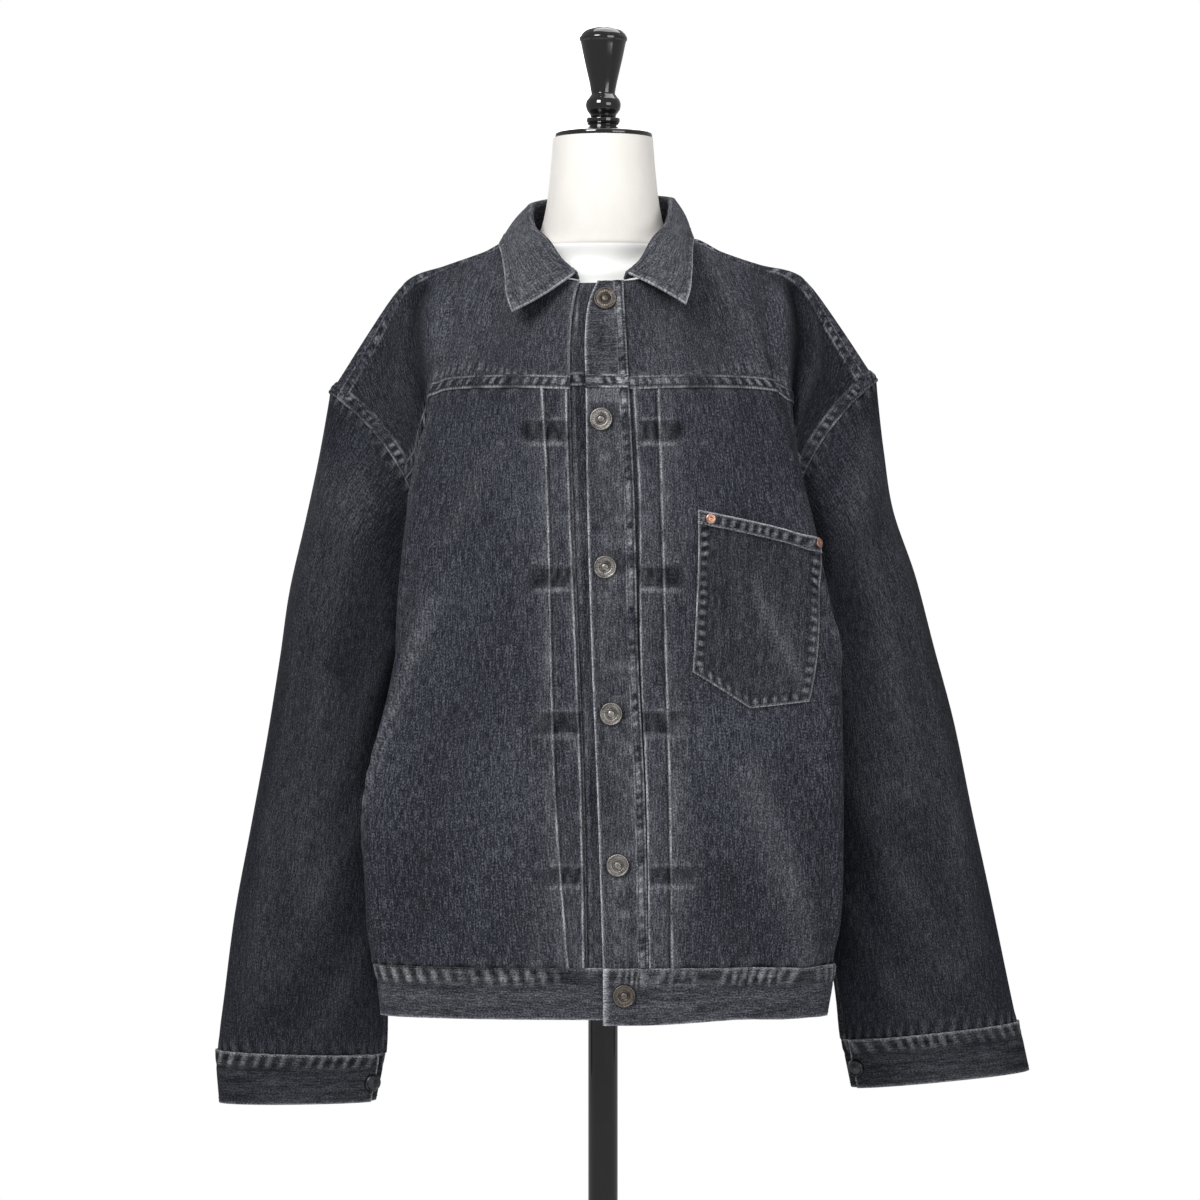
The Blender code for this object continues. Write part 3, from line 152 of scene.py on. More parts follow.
# Soft folds: side, start and end as fractions across and up, half width, rise above the surface
FOLDS = (
    (-1, 0.70, 0.52, 0.70, 0.16, 0.032, 0.0030),
    (-1, 0.50, -0.10, 0.62, -0.85, 0.016, 0.0040),
    (1, 0.70, 0.52, 0.70, 0.16, 0.032, 0.0030),
    (1, 0.42, -0.45, 0.36, -0.95, 0.016, 0.0040),
)
CREASES = (
    (-1, 0.38, -0.02, 0.62, -0.60, 0.007, 0.0046),
    (-1, 0.46, 0.06, 0.76, -0.66, 0.014, -0.0046),
    (-1, 0.24, 0.30, 0.34, 0.12, 0.008, 0.0022),
    (-1, 0.30, -0.30, 0.40, -0.80, 0.013, -0.0024),
    (-1, 0.62, 0.30, 0.66, 0.05, 0.010, 0.0034),
    (-1, 0.55, 0.62, 0.60, 0.90, 0.010, -0.0034),
    (-1, 0.60, 0.20, 0.61, 0.70, 0.010, 0.0030),
    (-1, 0.74, 0.25, 0.75, 0.90, 0.016, -0.0085),
    (-1, 0.36, 0.80, 0.42, 0.50, 0.012, 0.0018),
    (1, 0.25, -0.42, 0.40, -0.86, 0.009, 0.0040),
    (1, 0.35, -0.40, 0.49, -0.82, 0.011, -0.0034),
    (1, 0.20, -0.64, 0.27, -0.88, 0.006, -0.0028),
    (1, 0.60, -0.10, 0.72, -0.78, 0.012, 0.0042),
    (1, 0.74, -0.10, 0.84, -0.70, 0.012, -0.0036),
    (1, 0.58, 0.45, 0.64, 0.92, 0.009, -0.0036),
    (1, 0.66, 0.25, 0.68, 0.80, 0.009, 0.0034),
    (1, 0.77, 0.25, 0.79, 0.92, 0.013, -0.0075),
    (1, 0.84, 0.38, 0.86, 0.90, 0.009, 0.0030),
    (1, 0.40, 0.84, 0.50, 0.50, 0.012, 0.0020),
    (1, 0.46, 0.12, 0.58, -0.14, 0.010, 0.0026),
    (-1, 1.35, 0.42, 1.62, 0.10, 0.018, 0.0030),
    (-1, 1.45, 0.05, 1.66, -0.45, 0.020, 0.0028),
    (-1, 1.28, -0.10, 1.36, -0.80, 0.018, 0.0032),
    (-1, 1.78, -0.30, 1.72, -0.92, 0.020, 0.0026),
    (1, 1.33, 0.45, 1.58, 0.16, 0.018, 0.0030),
    (1, 1.42, 0.10, 1.70, -0.38, 0.020, 0.0026),
    (1, 1.30, -0.16, 1.40, -0.86, 0.018, 0.0032),
    (1, 1.82, -0.45, 1.86, -0.94, 0.018, 0.0024),
)
ACROSS = 0.26
UPWARDS = 0.30
FULLNESS = 0.42

# Sleeve folds: side, start and end as turns round and rings down, half width, rise
SLEEVE_FOLDS = (
    (-1, 1.25, 0.6, 1.45, 6.5, 0.016, 0.0030),
    (-1, 0.75, 1.0, 0.95, 8.0, 0.014, 0.0026),
    (-1, 1.85, 0.5, 1.55, 3.6, 0.014, -0.0028),
    (-1, 2.30, 2.2, 1.80, 5.2, 0.012, 0.0030),
    (-1, 2.20, 5.5, 1.30, 7.6, 0.012, 0.0026),
    (-1, 2.45, 7.0, 1.70, 8.7, 0.010, 0.0024),
    (-1, -1.00, 0.8, -1.20, 5.5, 0.018, 0.0034),
    (-1, -1.90, 1.6, -1.40, 6.4, 0.016, 0.0030),
    (-1, -2.30, 5.2, -1.20, 7.4, 0.012, 0.0030),
    (-1, -0.60, 5.8, -1.70, 8.3, 0.012, 0.0026),
    (1, 1.20, 0.8, 1.35, 5.6, 0.014, 0.0034),
    (1, 0.70, 0.6, 0.85, 7.5, 0.014, 0.0026),
    (1, 1.75, 0.4, 1.60, 3.0, 0.012, -0.0030),
    (1, 2.20, 2.0, 1.85, 5.6, 0.013, 0.0030),
    (1, 2.30, 5.0, 1.20, 7.8, 0.012, 0.0028),
    (1, 2.40, 6.8, 1.60, 8.6, 0.010, 0.0024),
    (1, -0.95, 0.9, -1.25, 5.2, 0.018, 0.0034),
    (1, -1.95, 1.4, -1.50, 6.8, 0.016, 0.0030),
    (1, -2.25, 5.6, -1.10, 7.6, 0.012, 0.0030),
)
SLEEVE_RADIUS = 0.055
SLEEVE_RING_STEP = 0.062

# Yoke seam of the fronts: fraction across, height
YOKE_SEAM = ((0.0, 1.2126), (0.30, 1.2137), (0.50, 1.2120), (0.64, 1.2060), (0.74, 1.1950),
             (0.80, 1.1820), (0.88, 1.1580), (1.0, 1.1400))

# Centre lines: height, edge of the upper placket, its seam, edge of the under placket
PLACKET = (
    (0.7425, 0.0000, 0.0360, -0.0125),
    (0.8850, -0.0048, 0.0330, -0.0150),
    (0.9900, -0.0090, 0.0280, -0.0190),
    (1.1300, -0.0130, 0.0245, -0.0245),
    (1.2120, -0.0140, 0.0205, -0.0265),
    (1.2600, -0.0145, 0.0180, -0.0260),
    (1.2850, -0.0110, 0.0165, -0.0230),
    (1.3010, -0.0040, 0.0160, -0.0190),
)
UNDER_LAP = 0.018
UNDER_TURN = 0.004
PLACKET_RISE = 0.0012
PLACKET_TOP_Z = 1.3000
PLACKET_SEAM_Z = 1.2140
PLACKET_FOOT_Z = BAND_TOP_Z + 0.0003

# Pleats: height, x of the inner and outer folded edge on the right front and on the left front
PLEATS = (
    (0.7425, 0.0107, 0.0275, 0.0365, 0.0550),
    (0.8850, 0.0160, 0.0380, 0.0345, 0.0530),
    (0.9900, 0.0210, 0.0410, 0.0300, 0.0500),
    (1.1300, 0.0252, 0.0440, 0.0285, 0.0463),
    (1.2130, 0.0285, 0.0480, 0.0240, 0.0433),
)
PLEAT_GAP = 0.0022

# Box stitches over the pleats: their low and high edge, and their ends on the two fronts
BOXES = (
    (1.1698, 1.1860, (-0.0662, -0.0265), (0.0268, 0.0628)),
    (1.0515, 1.0685, (-0.0600, -0.0215), (0.0284, 0.0650)),
    (0.9323, 0.9502, (-0.0543, -0.0175), (0.0300, 0.0722)),
    (0.8099, 0.8245, (-0.0470, -0.0135), (0.0373, 0.0763)),
)

# Pocket on the wearer's left: fractions across of its sides, heights of its corners
POCKET_LEFT = (0.175, 0.138)
POCKET_RIGHT = (0.510, 0.394)
POCKET_TIP = 0.44
POCKET_TOP_Z = (1.1139, 1.0889)
POCKET_FOOT_Z = (0.9824, 0.9530, 0.9580)
POCKET_HEM = 0.0115
POCKET_LIFT = 2 * PLEAT_STEP + 0.0006

# Collar: share of the half from the front end, then the neck seam, the roll and the leaf's edge
COLLAR = {
    -1: (
        (0.00, 0.0195, -0.0925, 1.3020, 0.0215, -0.0960, 1.3075, 0.0740, -0.1120, 1.2745),
        (0.10, 0.0330, -0.0860, 1.3055, 0.0335, -0.0860, 1.3180, 0.0785, -0.1010, 1.2880),
        (0.22, 0.0480, -0.0700, 1.3135, 0.0440, -0.0700, 1.3330, 0.0800, -0.0850, 1.3060),
        (0.36, 0.0610, -0.0420, 1.3250, 0.0555, -0.0440, 1.3455, 0.0830, -0.0560, 1.3240),
        (0.52, 0.0705, -0.0080, 1.3390, 0.0590, -0.0080, 1.3625, 0.0860, -0.0200, 1.3370),
        (0.70, 0.0600, 0.0330, 1.3450, 0.0530, 0.0280, 1.3720, 0.0760, 0.0400, 1.3440),
        (0.86, 0.0320, 0.0590, 1.3500, 0.0300, 0.0520, 1.3780, 0.0420, 0.0740, 1.3440),
        (1.00, 0.0000, 0.0650, 1.3510, 0.0000, 0.0590, 1.3800, 0.0000, 0.0820, 1.3440),
    ),
    1: (
        (0.00, 0.0170, -0.0925, 1.3020, 0.0190, -0.0960, 1.3075, 0.0675, -0.1120, 1.2805),
        (0.10, 0.0300, -0.0870, 1.3050, 0.0300, -0.0870, 1.3170, 0.0710, -0.1010, 1.2930),
        (0.22, 0.0450, -0.0710, 1.3125, 0.0400, -0.0700, 1.3340, 0.0725, -0.0850, 1.3100),
        (0.36, 0.0590, -0.0430, 1.3240, 0.0510, -0.0440, 1.3480, 0.0735, -0.0560, 1.3290),
        (0.52, 0.0700, -0.0080, 1.3390, 0.0560, -0.0080, 1.3680, 0.0750, -0.0200, 1.3420),
        (0.70, 0.0600, 0.0330, 1.3450, 0.0510, 0.0280, 1.3760, 0.0700, 0.0400, 1.3470),
        (0.86, 0.0320, 0.0590, 1.3500, 0.0300, 0.0520, 1.3795, 0.0420, 0.0740, 1.3450),
        (1.00, 0.0000, 0.0650, 1.3510, 0.0000, 0.0590, 1.3800, 0.0000, 0.0820, 1.3440),
    ),
}
COLLAR_WALL = 0.0018
LEAF_ROW = 15
ROLL_RADIUS = 0.0030
LEAF_SAG = {-1: 0.0042, 1: 0.0008}

# Form rings: height at the front and at the sides, half width, half depth, centre y
FORM_RINGS = (
    (0.7500, 0.7500, 0.1350, 0.0900, 0.004),
    (0.7560, 0.7560, 0.1430, 0.0980, 0.004),
    (0.8000, 0.8000, 0.1440, 0.1000, 0.004),
    (0.8700, 0.8700, 0.1330, 0.0930, 0.004),
    (0.9500, 0.9500, 0.1130, 0.0820, 0.002),
    (1.0400, 1.0400, 0.1150, 0.0840, 0.000),
    (1.1200, 1.1200, 0.1200, 0.0860, -0.002),
    (1.2000, 1.2000, 0.1300, 0.0780, -0.002),
    (1.2600, 1.2600, 0.1490, 0.0550, -0.004),
    (1.2860, 1.2915, 0.1535, 0.0410, -0.008),
    (1.2985, 1.3062, 0.1460, 0.0270, -0.008),
    (1.3055, 1.3162, 0.1260, 0.0190, -0.009),
    (1.3135, 1.3253, 0.1000, 0.0180, -0.009),
    (1.3210, 1.3318, 0.0785, 0.0203, -0.008),
    (1.3340, 1.3380, 0.0620, 0.0390, -0.003),
    (1.3450, 1.3470, 0.0535, 0.0450, 0.000),
    (1.3700, 1.3700, 0.0475, 0.0460, 0.001),
    (1.4000, 1.4000, 0.0440, 0.0440, 0.001),
    (1.4267, 1.4267, 0.0418, 0.0418, 0.000),
)
FORM_SQUARENESS = 2.15
FORM_SEAM_Z = 1.3360

# Metal on the cloth
BUTTON_RADIUS = 0.0096
CUFF_BUTTON_RADIUS = 0.0075
RIVET_RADIUS = 0.0045


def hermite(t, start, run_in, end, run_out):
    """Smooth curve between two places, from the directions at both."""
    return (
        (2 * t**3 - 3 * t**2 + 1) * start
        + (t**3 - 2 * t**2 + t) * run_in
        + (3 * t**2 - 2 * t**3) * end
        + (t**3 - t**2) * run_out
    )


def cubic(rows, at):
    """Reads every column of a table at the places given, on a smooth curve through its rows."""
    table = np.array(rows, float)
    knots, values = table[:, 0], table[:, 1:]
    steps = np.diff(knots)
    slopes = np.diff(values, axis=0) / steps[:, None]
    ends = np.vstack([slopes[:1], (slopes[:-1] + slopes[1:]) / 2, slopes[-1:]])
    at = np.clip(np.asarray(at, float), knots[0], knots[-1])
    cell = np.clip(np.searchsorted(knots, at, side="right") - 1, 0, len(steps) - 1)
    width = steps[cell][..., None]
    t = (at - knots[cell])[..., None] / width
    return hermite(t, values[cell], width * ends[cell], values[cell + 1], width * ends[cell + 1])


def ease(value, low, high):
    """0 below low, 1 above high, smooth between."""
    t = np.clip((np.asarray(value, float) - low) / (high - low), 0.0, 1.0)
    return t * t * (3 - 2 * t)


def hump(value, middle, half):
    """1 at the middle, fading smoothly on both sides."""
    return np.exp(-(((np.asarray(value, float) - middle) / half) ** 2))


def unit(vectors):
    """Vectors of length one."""
    return vectors / np.maximum(np.linalg.norm(vectors, axis=-1, keepdims=True), 1e-12)


def bent(value, power):
    """A value's size raised to a power, with its sign kept."""
    return np.sign(value) * np.abs(value) ** power


def spaced(start, *runs):
    """Places in a row of even stretches, each given by its end and its count with both ends."""
    places = [start]
    for end, count in runs:
        places.extend(np.linspace(places[-1], end, count)[1:])
    return np.array(places)


def mottle(a, b, seed):
    """Smooth random values between 0 and 1 over two numbers, one cell to each unit."""
    grid = np.random.default_rng(seed).random((64, 64))
    a, b = np.broadcast_arrays(np.asarray(a, float), np.asarray(b, float))
    i, j = np.floor(a).astype(int), np.floor(b).astype(int)
    s, t = ease(a - i, 0.0, 1.0), ease(b - j, 0.0, 1.0)
    low = grid[i % 64, j % 64] * (1 - s) + grid[(i + 1) % 64, j % 64] * s
    high = grid[i % 64, (j + 1) % 64] * (1 - s) + grid[(i + 1) % 64, (j + 1) % 64] * s
    return low * (1 - t) + high * t


def body_ring(side, across, z):
    """Point of the body's ring: across runs 0 at the centre front, 1 at the side, 2 at the back."""
    row = cubic(BODY_RINGS, z)
    front_width, back_width = (row[..., 0], row[..., 1]) if side < 0 else (row[..., 2], row[..., 3])
    angle = np.asarray(across, float) * 90.0
    power = 2.0 / BODY_SQUARENESS
    reach = []
    for sample in range(36, 80, 2):
        narrowed = ease(sample, *SIDE_TURN)
        spread = np.sin(np.radians(sample)) ** power
        reach.append((front_width / spread - back_width * narrowed) / (1 - narrowed))
    front_width = np.min(reach, axis=0)
    width = front_width + (back_width - front_width) * ease(angle, *SIDE_TURN)
    turn = np.radians(angle)
    y = np.where(angle <= 90.0, -row[..., 4], row[..., 5]) * np.abs(np.cos(turn)) ** power
    x = side * width * np.abs(np.sin(turn)) ** power
    return np.stack([x, BODY_CENTRE_Y + y, z + 0 * width], axis=-1)


def armhole(side, angle):
    """Point of the armhole's seam: 0 at the top, half a turn under the arm, the front positive."""
    top = np.array(ARMHOLE_TOPS[side])
    under = body_ring(side, np.array(1.0), np.array(UNDERARM_Z))
    reach = (top - under) / 2
    inwards = np.array([-side * reach[2], 0.0, side * reach[0]]) / np.linalg.norm(reach)
    sine = np.sin(angle)[..., None]
    place = (top + under) / 2 + np.cos(angle)[..., None] * reach
    place = place + np.where(sine > 0, *ARMHOLE_DEPTHS) * sine * np.array([0.0, -1.0, 0.0])
    return place + np.where(sine > 0, *ARMHOLE_BOWS) * sine**2 * inwards


def column(side, across, up):
    """Upper body from the underarm ring to the neck and shoulder, as one curve for each column."""
    back = across > 1
    share = np.where(back, 2 - across, across)
    step = 0.002
    lower = body_ring(side, across, np.full_like(across, UNDERARM_Z))
    rise = (lower - body_ring(side, across, np.full_like(across, UNDERARM_Z - step))) / step
    front_top = cubic(FRONT_TOP, share)
    turned = np.array([1.0, 1.0, 1.0, -1.0, -1.0, -1.0, 1.0])
    neck_end = [row for row in FRONT_TOP if row[0] == SHOULDER_SHARE][0]
    neck = cubic([*BACK_NECK, (SHOULDER_SHARE, *(np.array(neck_end[1:]) * turned))], share)
    back_top = np.where((share < SHOULDER_SHARE)[..., None], neck, front_top * turned)
    top = np.where(back[..., None], back_top, front_top)
    flip = np.array([side, 1.0, 1.0])
    run = unit(top[..., 3:6]) * top[..., 6:7] * flip
    plain = hermite(up[..., None], lower, rise * FULLNESS, top[..., :3] * flip, run)
    inset = ease(share, 0.3, 0.8) * np.sin(math.pi * np.minimum(up * 1.25, 1)) ** 2
    return plain - np.array([side * CHEST_INSET[side], 0.0, 0.0]) * inset[..., None]


def armhole_angle(back, up):
    """Angle round the armhole of a row of the upper body."""
    turned = up ** ARMHOLE_POWER
    front_angle = math.pi - turned * (math.pi - SHOULDER_SEAM_ANGLE)
    return np.where(back, turned * (math.pi + SHOULDER_SEAM_ANGLE) - math.pi, front_angle)


def along_folds(folds, side, a, b, a_size, b_size):
    """Sum of the soft ridges and troughs that lie on one side."""
    total = np.zeros(np.broadcast(a, b).shape)
    for fold_side, a0, b0, a1, b1, half, rise in folds:
        if fold_side == side:
            run = np.array([(a1 - a0) * a_size, (b1 - b0) * b_size])
            dx, dz = (a - a0) * a_size, (b - b0) * b_size
            along = np.clip((dx * run[0] + dz * run[1]) / (run @ run), 0, 1)
            total = total + rise * hump(np.hypot(dx - along * run[0], dz - along * run[1]), 0, half)
    return total


def drawn_to_armhole(side, share, back, rise):
    """The upper body with its outer columns turned back to meet the armhole's seam."""
    seam = armhole(side, armhole_angle(back, rise))
    moved = seam - column(side, np.where(back, 1 + 1e-9, 1 - 1e-9), rise)

    def drawn(place):
        pull = ease(place, PULL_SHARE, 1.0)[..., None] ** PULL_POWER
        return column(side, np.where(back, 2 - place, place), rise) + moved * pull

    straight = drawn(share)
    before, after = [drawn(np.full_like(share, TURN_SHARE + step)) for step in (-0.01, 0.01)]
    start = (before + after) / 2
    chord = seam - start
    run = unit(after - before) * np.linalg.norm(chord, axis=-1, keepdims=True)
    t = np.clip((share - TURN_SHARE) / (1 - TURN_SHARE), 0, 1)[..., None]
    mix = ease(rise, *TURN_ROWS[:2]) * (1 - ease(rise, *TURN_ROWS[2:])) * (share > TURN_SHARE)
    return straight + (hermite(t, start, run, seam, chord) - straight) * mix[..., None]


def plain_body(side, across, up):
    """The body without folds: up is -1 at the hem, 0 under the arm, 1 at the neck and shoulder."""
    low = body_ring(side, across, UNDERARM_Z + np.minimum(up, 0) * (UNDERARM_Z - HEM_Z))
    share = np.where(across > 1, 2 - across, across)
    high = drawn_to_armhole(side, share, across > 1, np.clip(up, 0, 1))
    return np.where(up[..., None] < 0, low, high)


def search(reading, low, high, target, rounds=HALVINGS + 4):
    """Places just before and after the one where a growing reading meets its target."""
    low, high = np.full(target.shape, low), np.full(target.shape, high)
    for _ in range(rounds):
        middle = (low + high) / 2
        past = reading(middle) > target
        low, high = np.where(past, low, middle), np.where(past, middle, high)
    return low, high


def side_width(side, place):
    """How far the body reaches sideways at the height and depth of a place beside it."""
    z = np.clip(place[..., 2], HEM_Z, UNDERARM_Z)
    low, _ = search(lambda at: body_ring(side, at, z)[..., 1], 0.4, 1.7, place[..., 1], HALVINGS)
    return np.abs(body_ring(side, low, z)[..., 0])


def sleeve(side, angle, along):
    """Point of a sleeve: along is 0 at the armhole and grows by one for each ring."""
    power = 2.0 / SLEEVE_SQUARENESS
    cosine, sine = bent(np.cos(angle), power)[..., None], bent(np.sin(angle), power)[..., None]
    sideways = np.array([side, 0.0, 0.0])
    rings = [armhole(side, angle) + (1 - np.cos(angle))[..., None] * sideways * SLEEVE_CLEARANCE]
    for outer_x, outer_z, inner_x, inner_z, centre_y, depth in SLEEVES[side]:
        outer = np.array([side * outer_x, centre_y, outer_z])
        inner = np.array([side * inner_x, centre_y, inner_z])
        ring = (outer + inner) / 2 + cosine * (outer - inner) / 2
        rings.append(ring + sine * np.array([0.0, -depth, 0.0]))
    rings = np.stack(rings)
    slopes = np.gradient(rings, axis=0)
    slopes[0] += ease(-np.cos(angle), 0.0, 0.9)[..., None] * sideways * UNDERARM_BULGE
    cell = np.clip(np.floor(along).astype(int), 0, len(rings) - 2)
    ends = [np.take_along_axis(stack, at[None, ..., None], axis=0)[0]
            for at in (cell, cell + 1) for stack in (rings, slopes)]
    place = hermite((along - cell)[..., None], *ends)
    inside = side_width(side, place) - place[..., 0] * side
    push = SLEEVE_TOUCH * np.logaddexp(0.0, inside / SLEEVE_TOUCH + 1.0) * ease(along, 0.0, 0.12)
    push = push * ease(place[..., 2], UNDERARM_Z + 0.02, UNDERARM_Z - 0.004)
    return place + push[..., None] * sideways


def dense(points, rows, columns):
    """A grid of points read at places between its rows and columns, on smooth curves."""
    count, width = points.shape[:2]
    flat = cubic(np.column_stack([np.arange(count), points.reshape(count, -1)]), rows)
    turned = flat.reshape(len(rows), width, -1).transpose(1, 0, 2).reshape(width, -1)
    fine = cubic(np.column_stack([np.arange(width), turned]), columns)
    return fine.reshape(len(columns), len(rows), -1).transpose(1, 0, 2)


def facing(points, side=1):
    """Outward direction at each point of a grid whose rows run up and columns run across."""
    return unit(np.cross(np.gradient(points, axis=1), np.gradient(points, axis=0))) * side


def between(grid, row, col):
    """Values between the points of a grid."""
    i = np.clip(np.floor(row).astype(int), 0, grid.shape[0] - 2)
    j = np.clip(np.floor(col).astype(int), 0, grid.shape[1] - 2)
    s, t = (row - i)[..., None], (col - j)[..., None]
    low = grid[i, j] * (1 - t) + grid[i, j + 1] * t
    high = grid[i + 1, j] * (1 - t) + grid[i + 1, j + 1] * t
    return low * (1 - s) + high * s


class Chart:
    """A surface read from a fine grid over two numbers, with its outward direction."""

    def __init__(self, side, ranges, counts, surface, finer=3):
        a, b = [np.linspace(*reach, count) for reach, count in zip(ranges, counts)]
        columns, rows = [np.linspace(0, count - 1, (count - 1) * finer + 1) for count in counts]
        grid = surface(a[None, :] + 0 * b[:, None], b[:, None] + 0 * a[None, :])
        points = dense(grid, rows, columns)
        self.data = np.concatenate([points, facing(points, side)], axis=-1)
        self.ranges = ranges

    def read(self, a, b):
        """Places and outward directions."""
        values = np.broadcast_arrays(np.asarray(a, float), np.asarray(b, float))
        col, row = [np.clip((value - low) / (high - low) * (count - 1), 0, count - 1)
                    for value, (low, high), count in zip(values, self.ranges, self.data.shape[1::-1])]
        found = between(self.data, row, col)
        return found[..., :3], unit(found[..., 3:])


def body_chart(side, back):
    """One quarter of the body, with its soft folds."""
    def surface(across, up):
        points = plain_body(side, across, up)
        rise = along_folds(FOLDS + CREASES, side, across, up, ACROSS, UPWARDS)
        rise = rise * (1 - ease(np.where(across > 1, 2 - across, across), 0.90, 1.0))
        return points + facing(points, side) * (rise * (1 - ease(up, 0.90, 1.0)))[..., None]

    a_range = (1 + 1e-6, 2.0) if back else (0.0, 1 - 1e-6)
    return Chart(side, (a_range, (-1.0, 1.0)), (61, 121), surface)


def sleeve_chart(side):
    """One sleeve with its folds."""
    def surface(angle, along):
        points = sleeve(side, angle, along)
        outwards = facing(points.transpose(1, 0, 2), -side).transpose(1, 0, 2)
        rise = along_folds(SLEEVE_FOLDS, side, angle, along, SLEEVE_RADIUS, SLEEVE_RING_STEP)
        fade = ease(along, 0.05, 0.6) * (1 - ease(along, SLEEVE_LAST - 1.6, SLEEVE_LAST - 1.0))
        return points + outwards * (rise * fade)[..., None]

    return Chart(side, ((-math.pi, math.pi), (0.0, SLEEVE_LAST - 1e-6)), (73, 121), surface)


def up_at(side, across, z):
    """Height fraction at which the front reaches a height."""
    across, z = np.broadcast_arrays(np.asarray(across, float), np.asarray(z, float))
    chart = BODY[side, False]
    return np.mean(search(lambda up: chart.read(across, up)[0][..., 2], -1.0, 1.0, z), axis=0)


def across_at(side, x, up):
    """Place across at which the front reaches a distance from the centre line."""
    x, up = np.broadcast_arrays(np.asarray(x, float), np.asarray(up, float))
    chart = BODY[side, False]
    found = search(lambda across: np.abs(chart.read(across, up)[0][..., 0]), 0.0, 0.75, np.abs(x))
    return np.mean(found, axis=0)


def front_point(x, z, out=0.0):
    """Places on the front, on either side of the centre line, and outward directions."""
    x, z = np.broadcast_arrays(np.asarray(x, float), np.asarray(z, float))
    found = np.zeros(x.shape + (6,))
    for side in (-1, 1):
        up = up_at(side, 0.05, z)
        for _ in range(2):
            across = across_at(side, x, up)
            up = up_at(side, across, z)
        mine = (x < 0) == (side < 0)
        found[mine] = np.concatenate(BODY[side, False].read(across, up), -1)[mine]
    outwards = unit(found[..., 3:])
    return found[..., :3] + outwards * np.asarray(out, float)[..., None], outwards


def lengths(points, axis):
    """Mean distance along a grid from its first row or column."""
    steps = np.linalg.norm(np.diff(points, axis=axis), axis=-1).mean(axis=1 - axis)
    return np.append(0.0, np.cumsum(steps))


def quads_of(at):
    """Faces between the points of a grid of point numbers."""
    return np.stack([at[:-1, :-1], at[:-1, 1:], at[1:, 1:], at[1:, :-1]], axis=-1).reshape(-1, 4)


def closed_rings(rings, steps):
    """Point numbers of rings that close on themselves, row by row."""
    at = np.arange(rings * steps).reshape(rings, steps)
    return np.concatenate([at, at[:, :1]], axis=1)


def outward_faces(outer, outwards, faces):
    """Faces listed by a grid's rows, turned over where they would look inwards."""
    normal = np.cross(outer[1:, :-1] - outer[:-1, :-1], outer[:-1, 1:] - outer[:-1, :-1])
    flip = -1 if (normal * outwards[:-1, :-1]).sum() > 0 else 1
    return [group[:, ::flip] for group in faces]


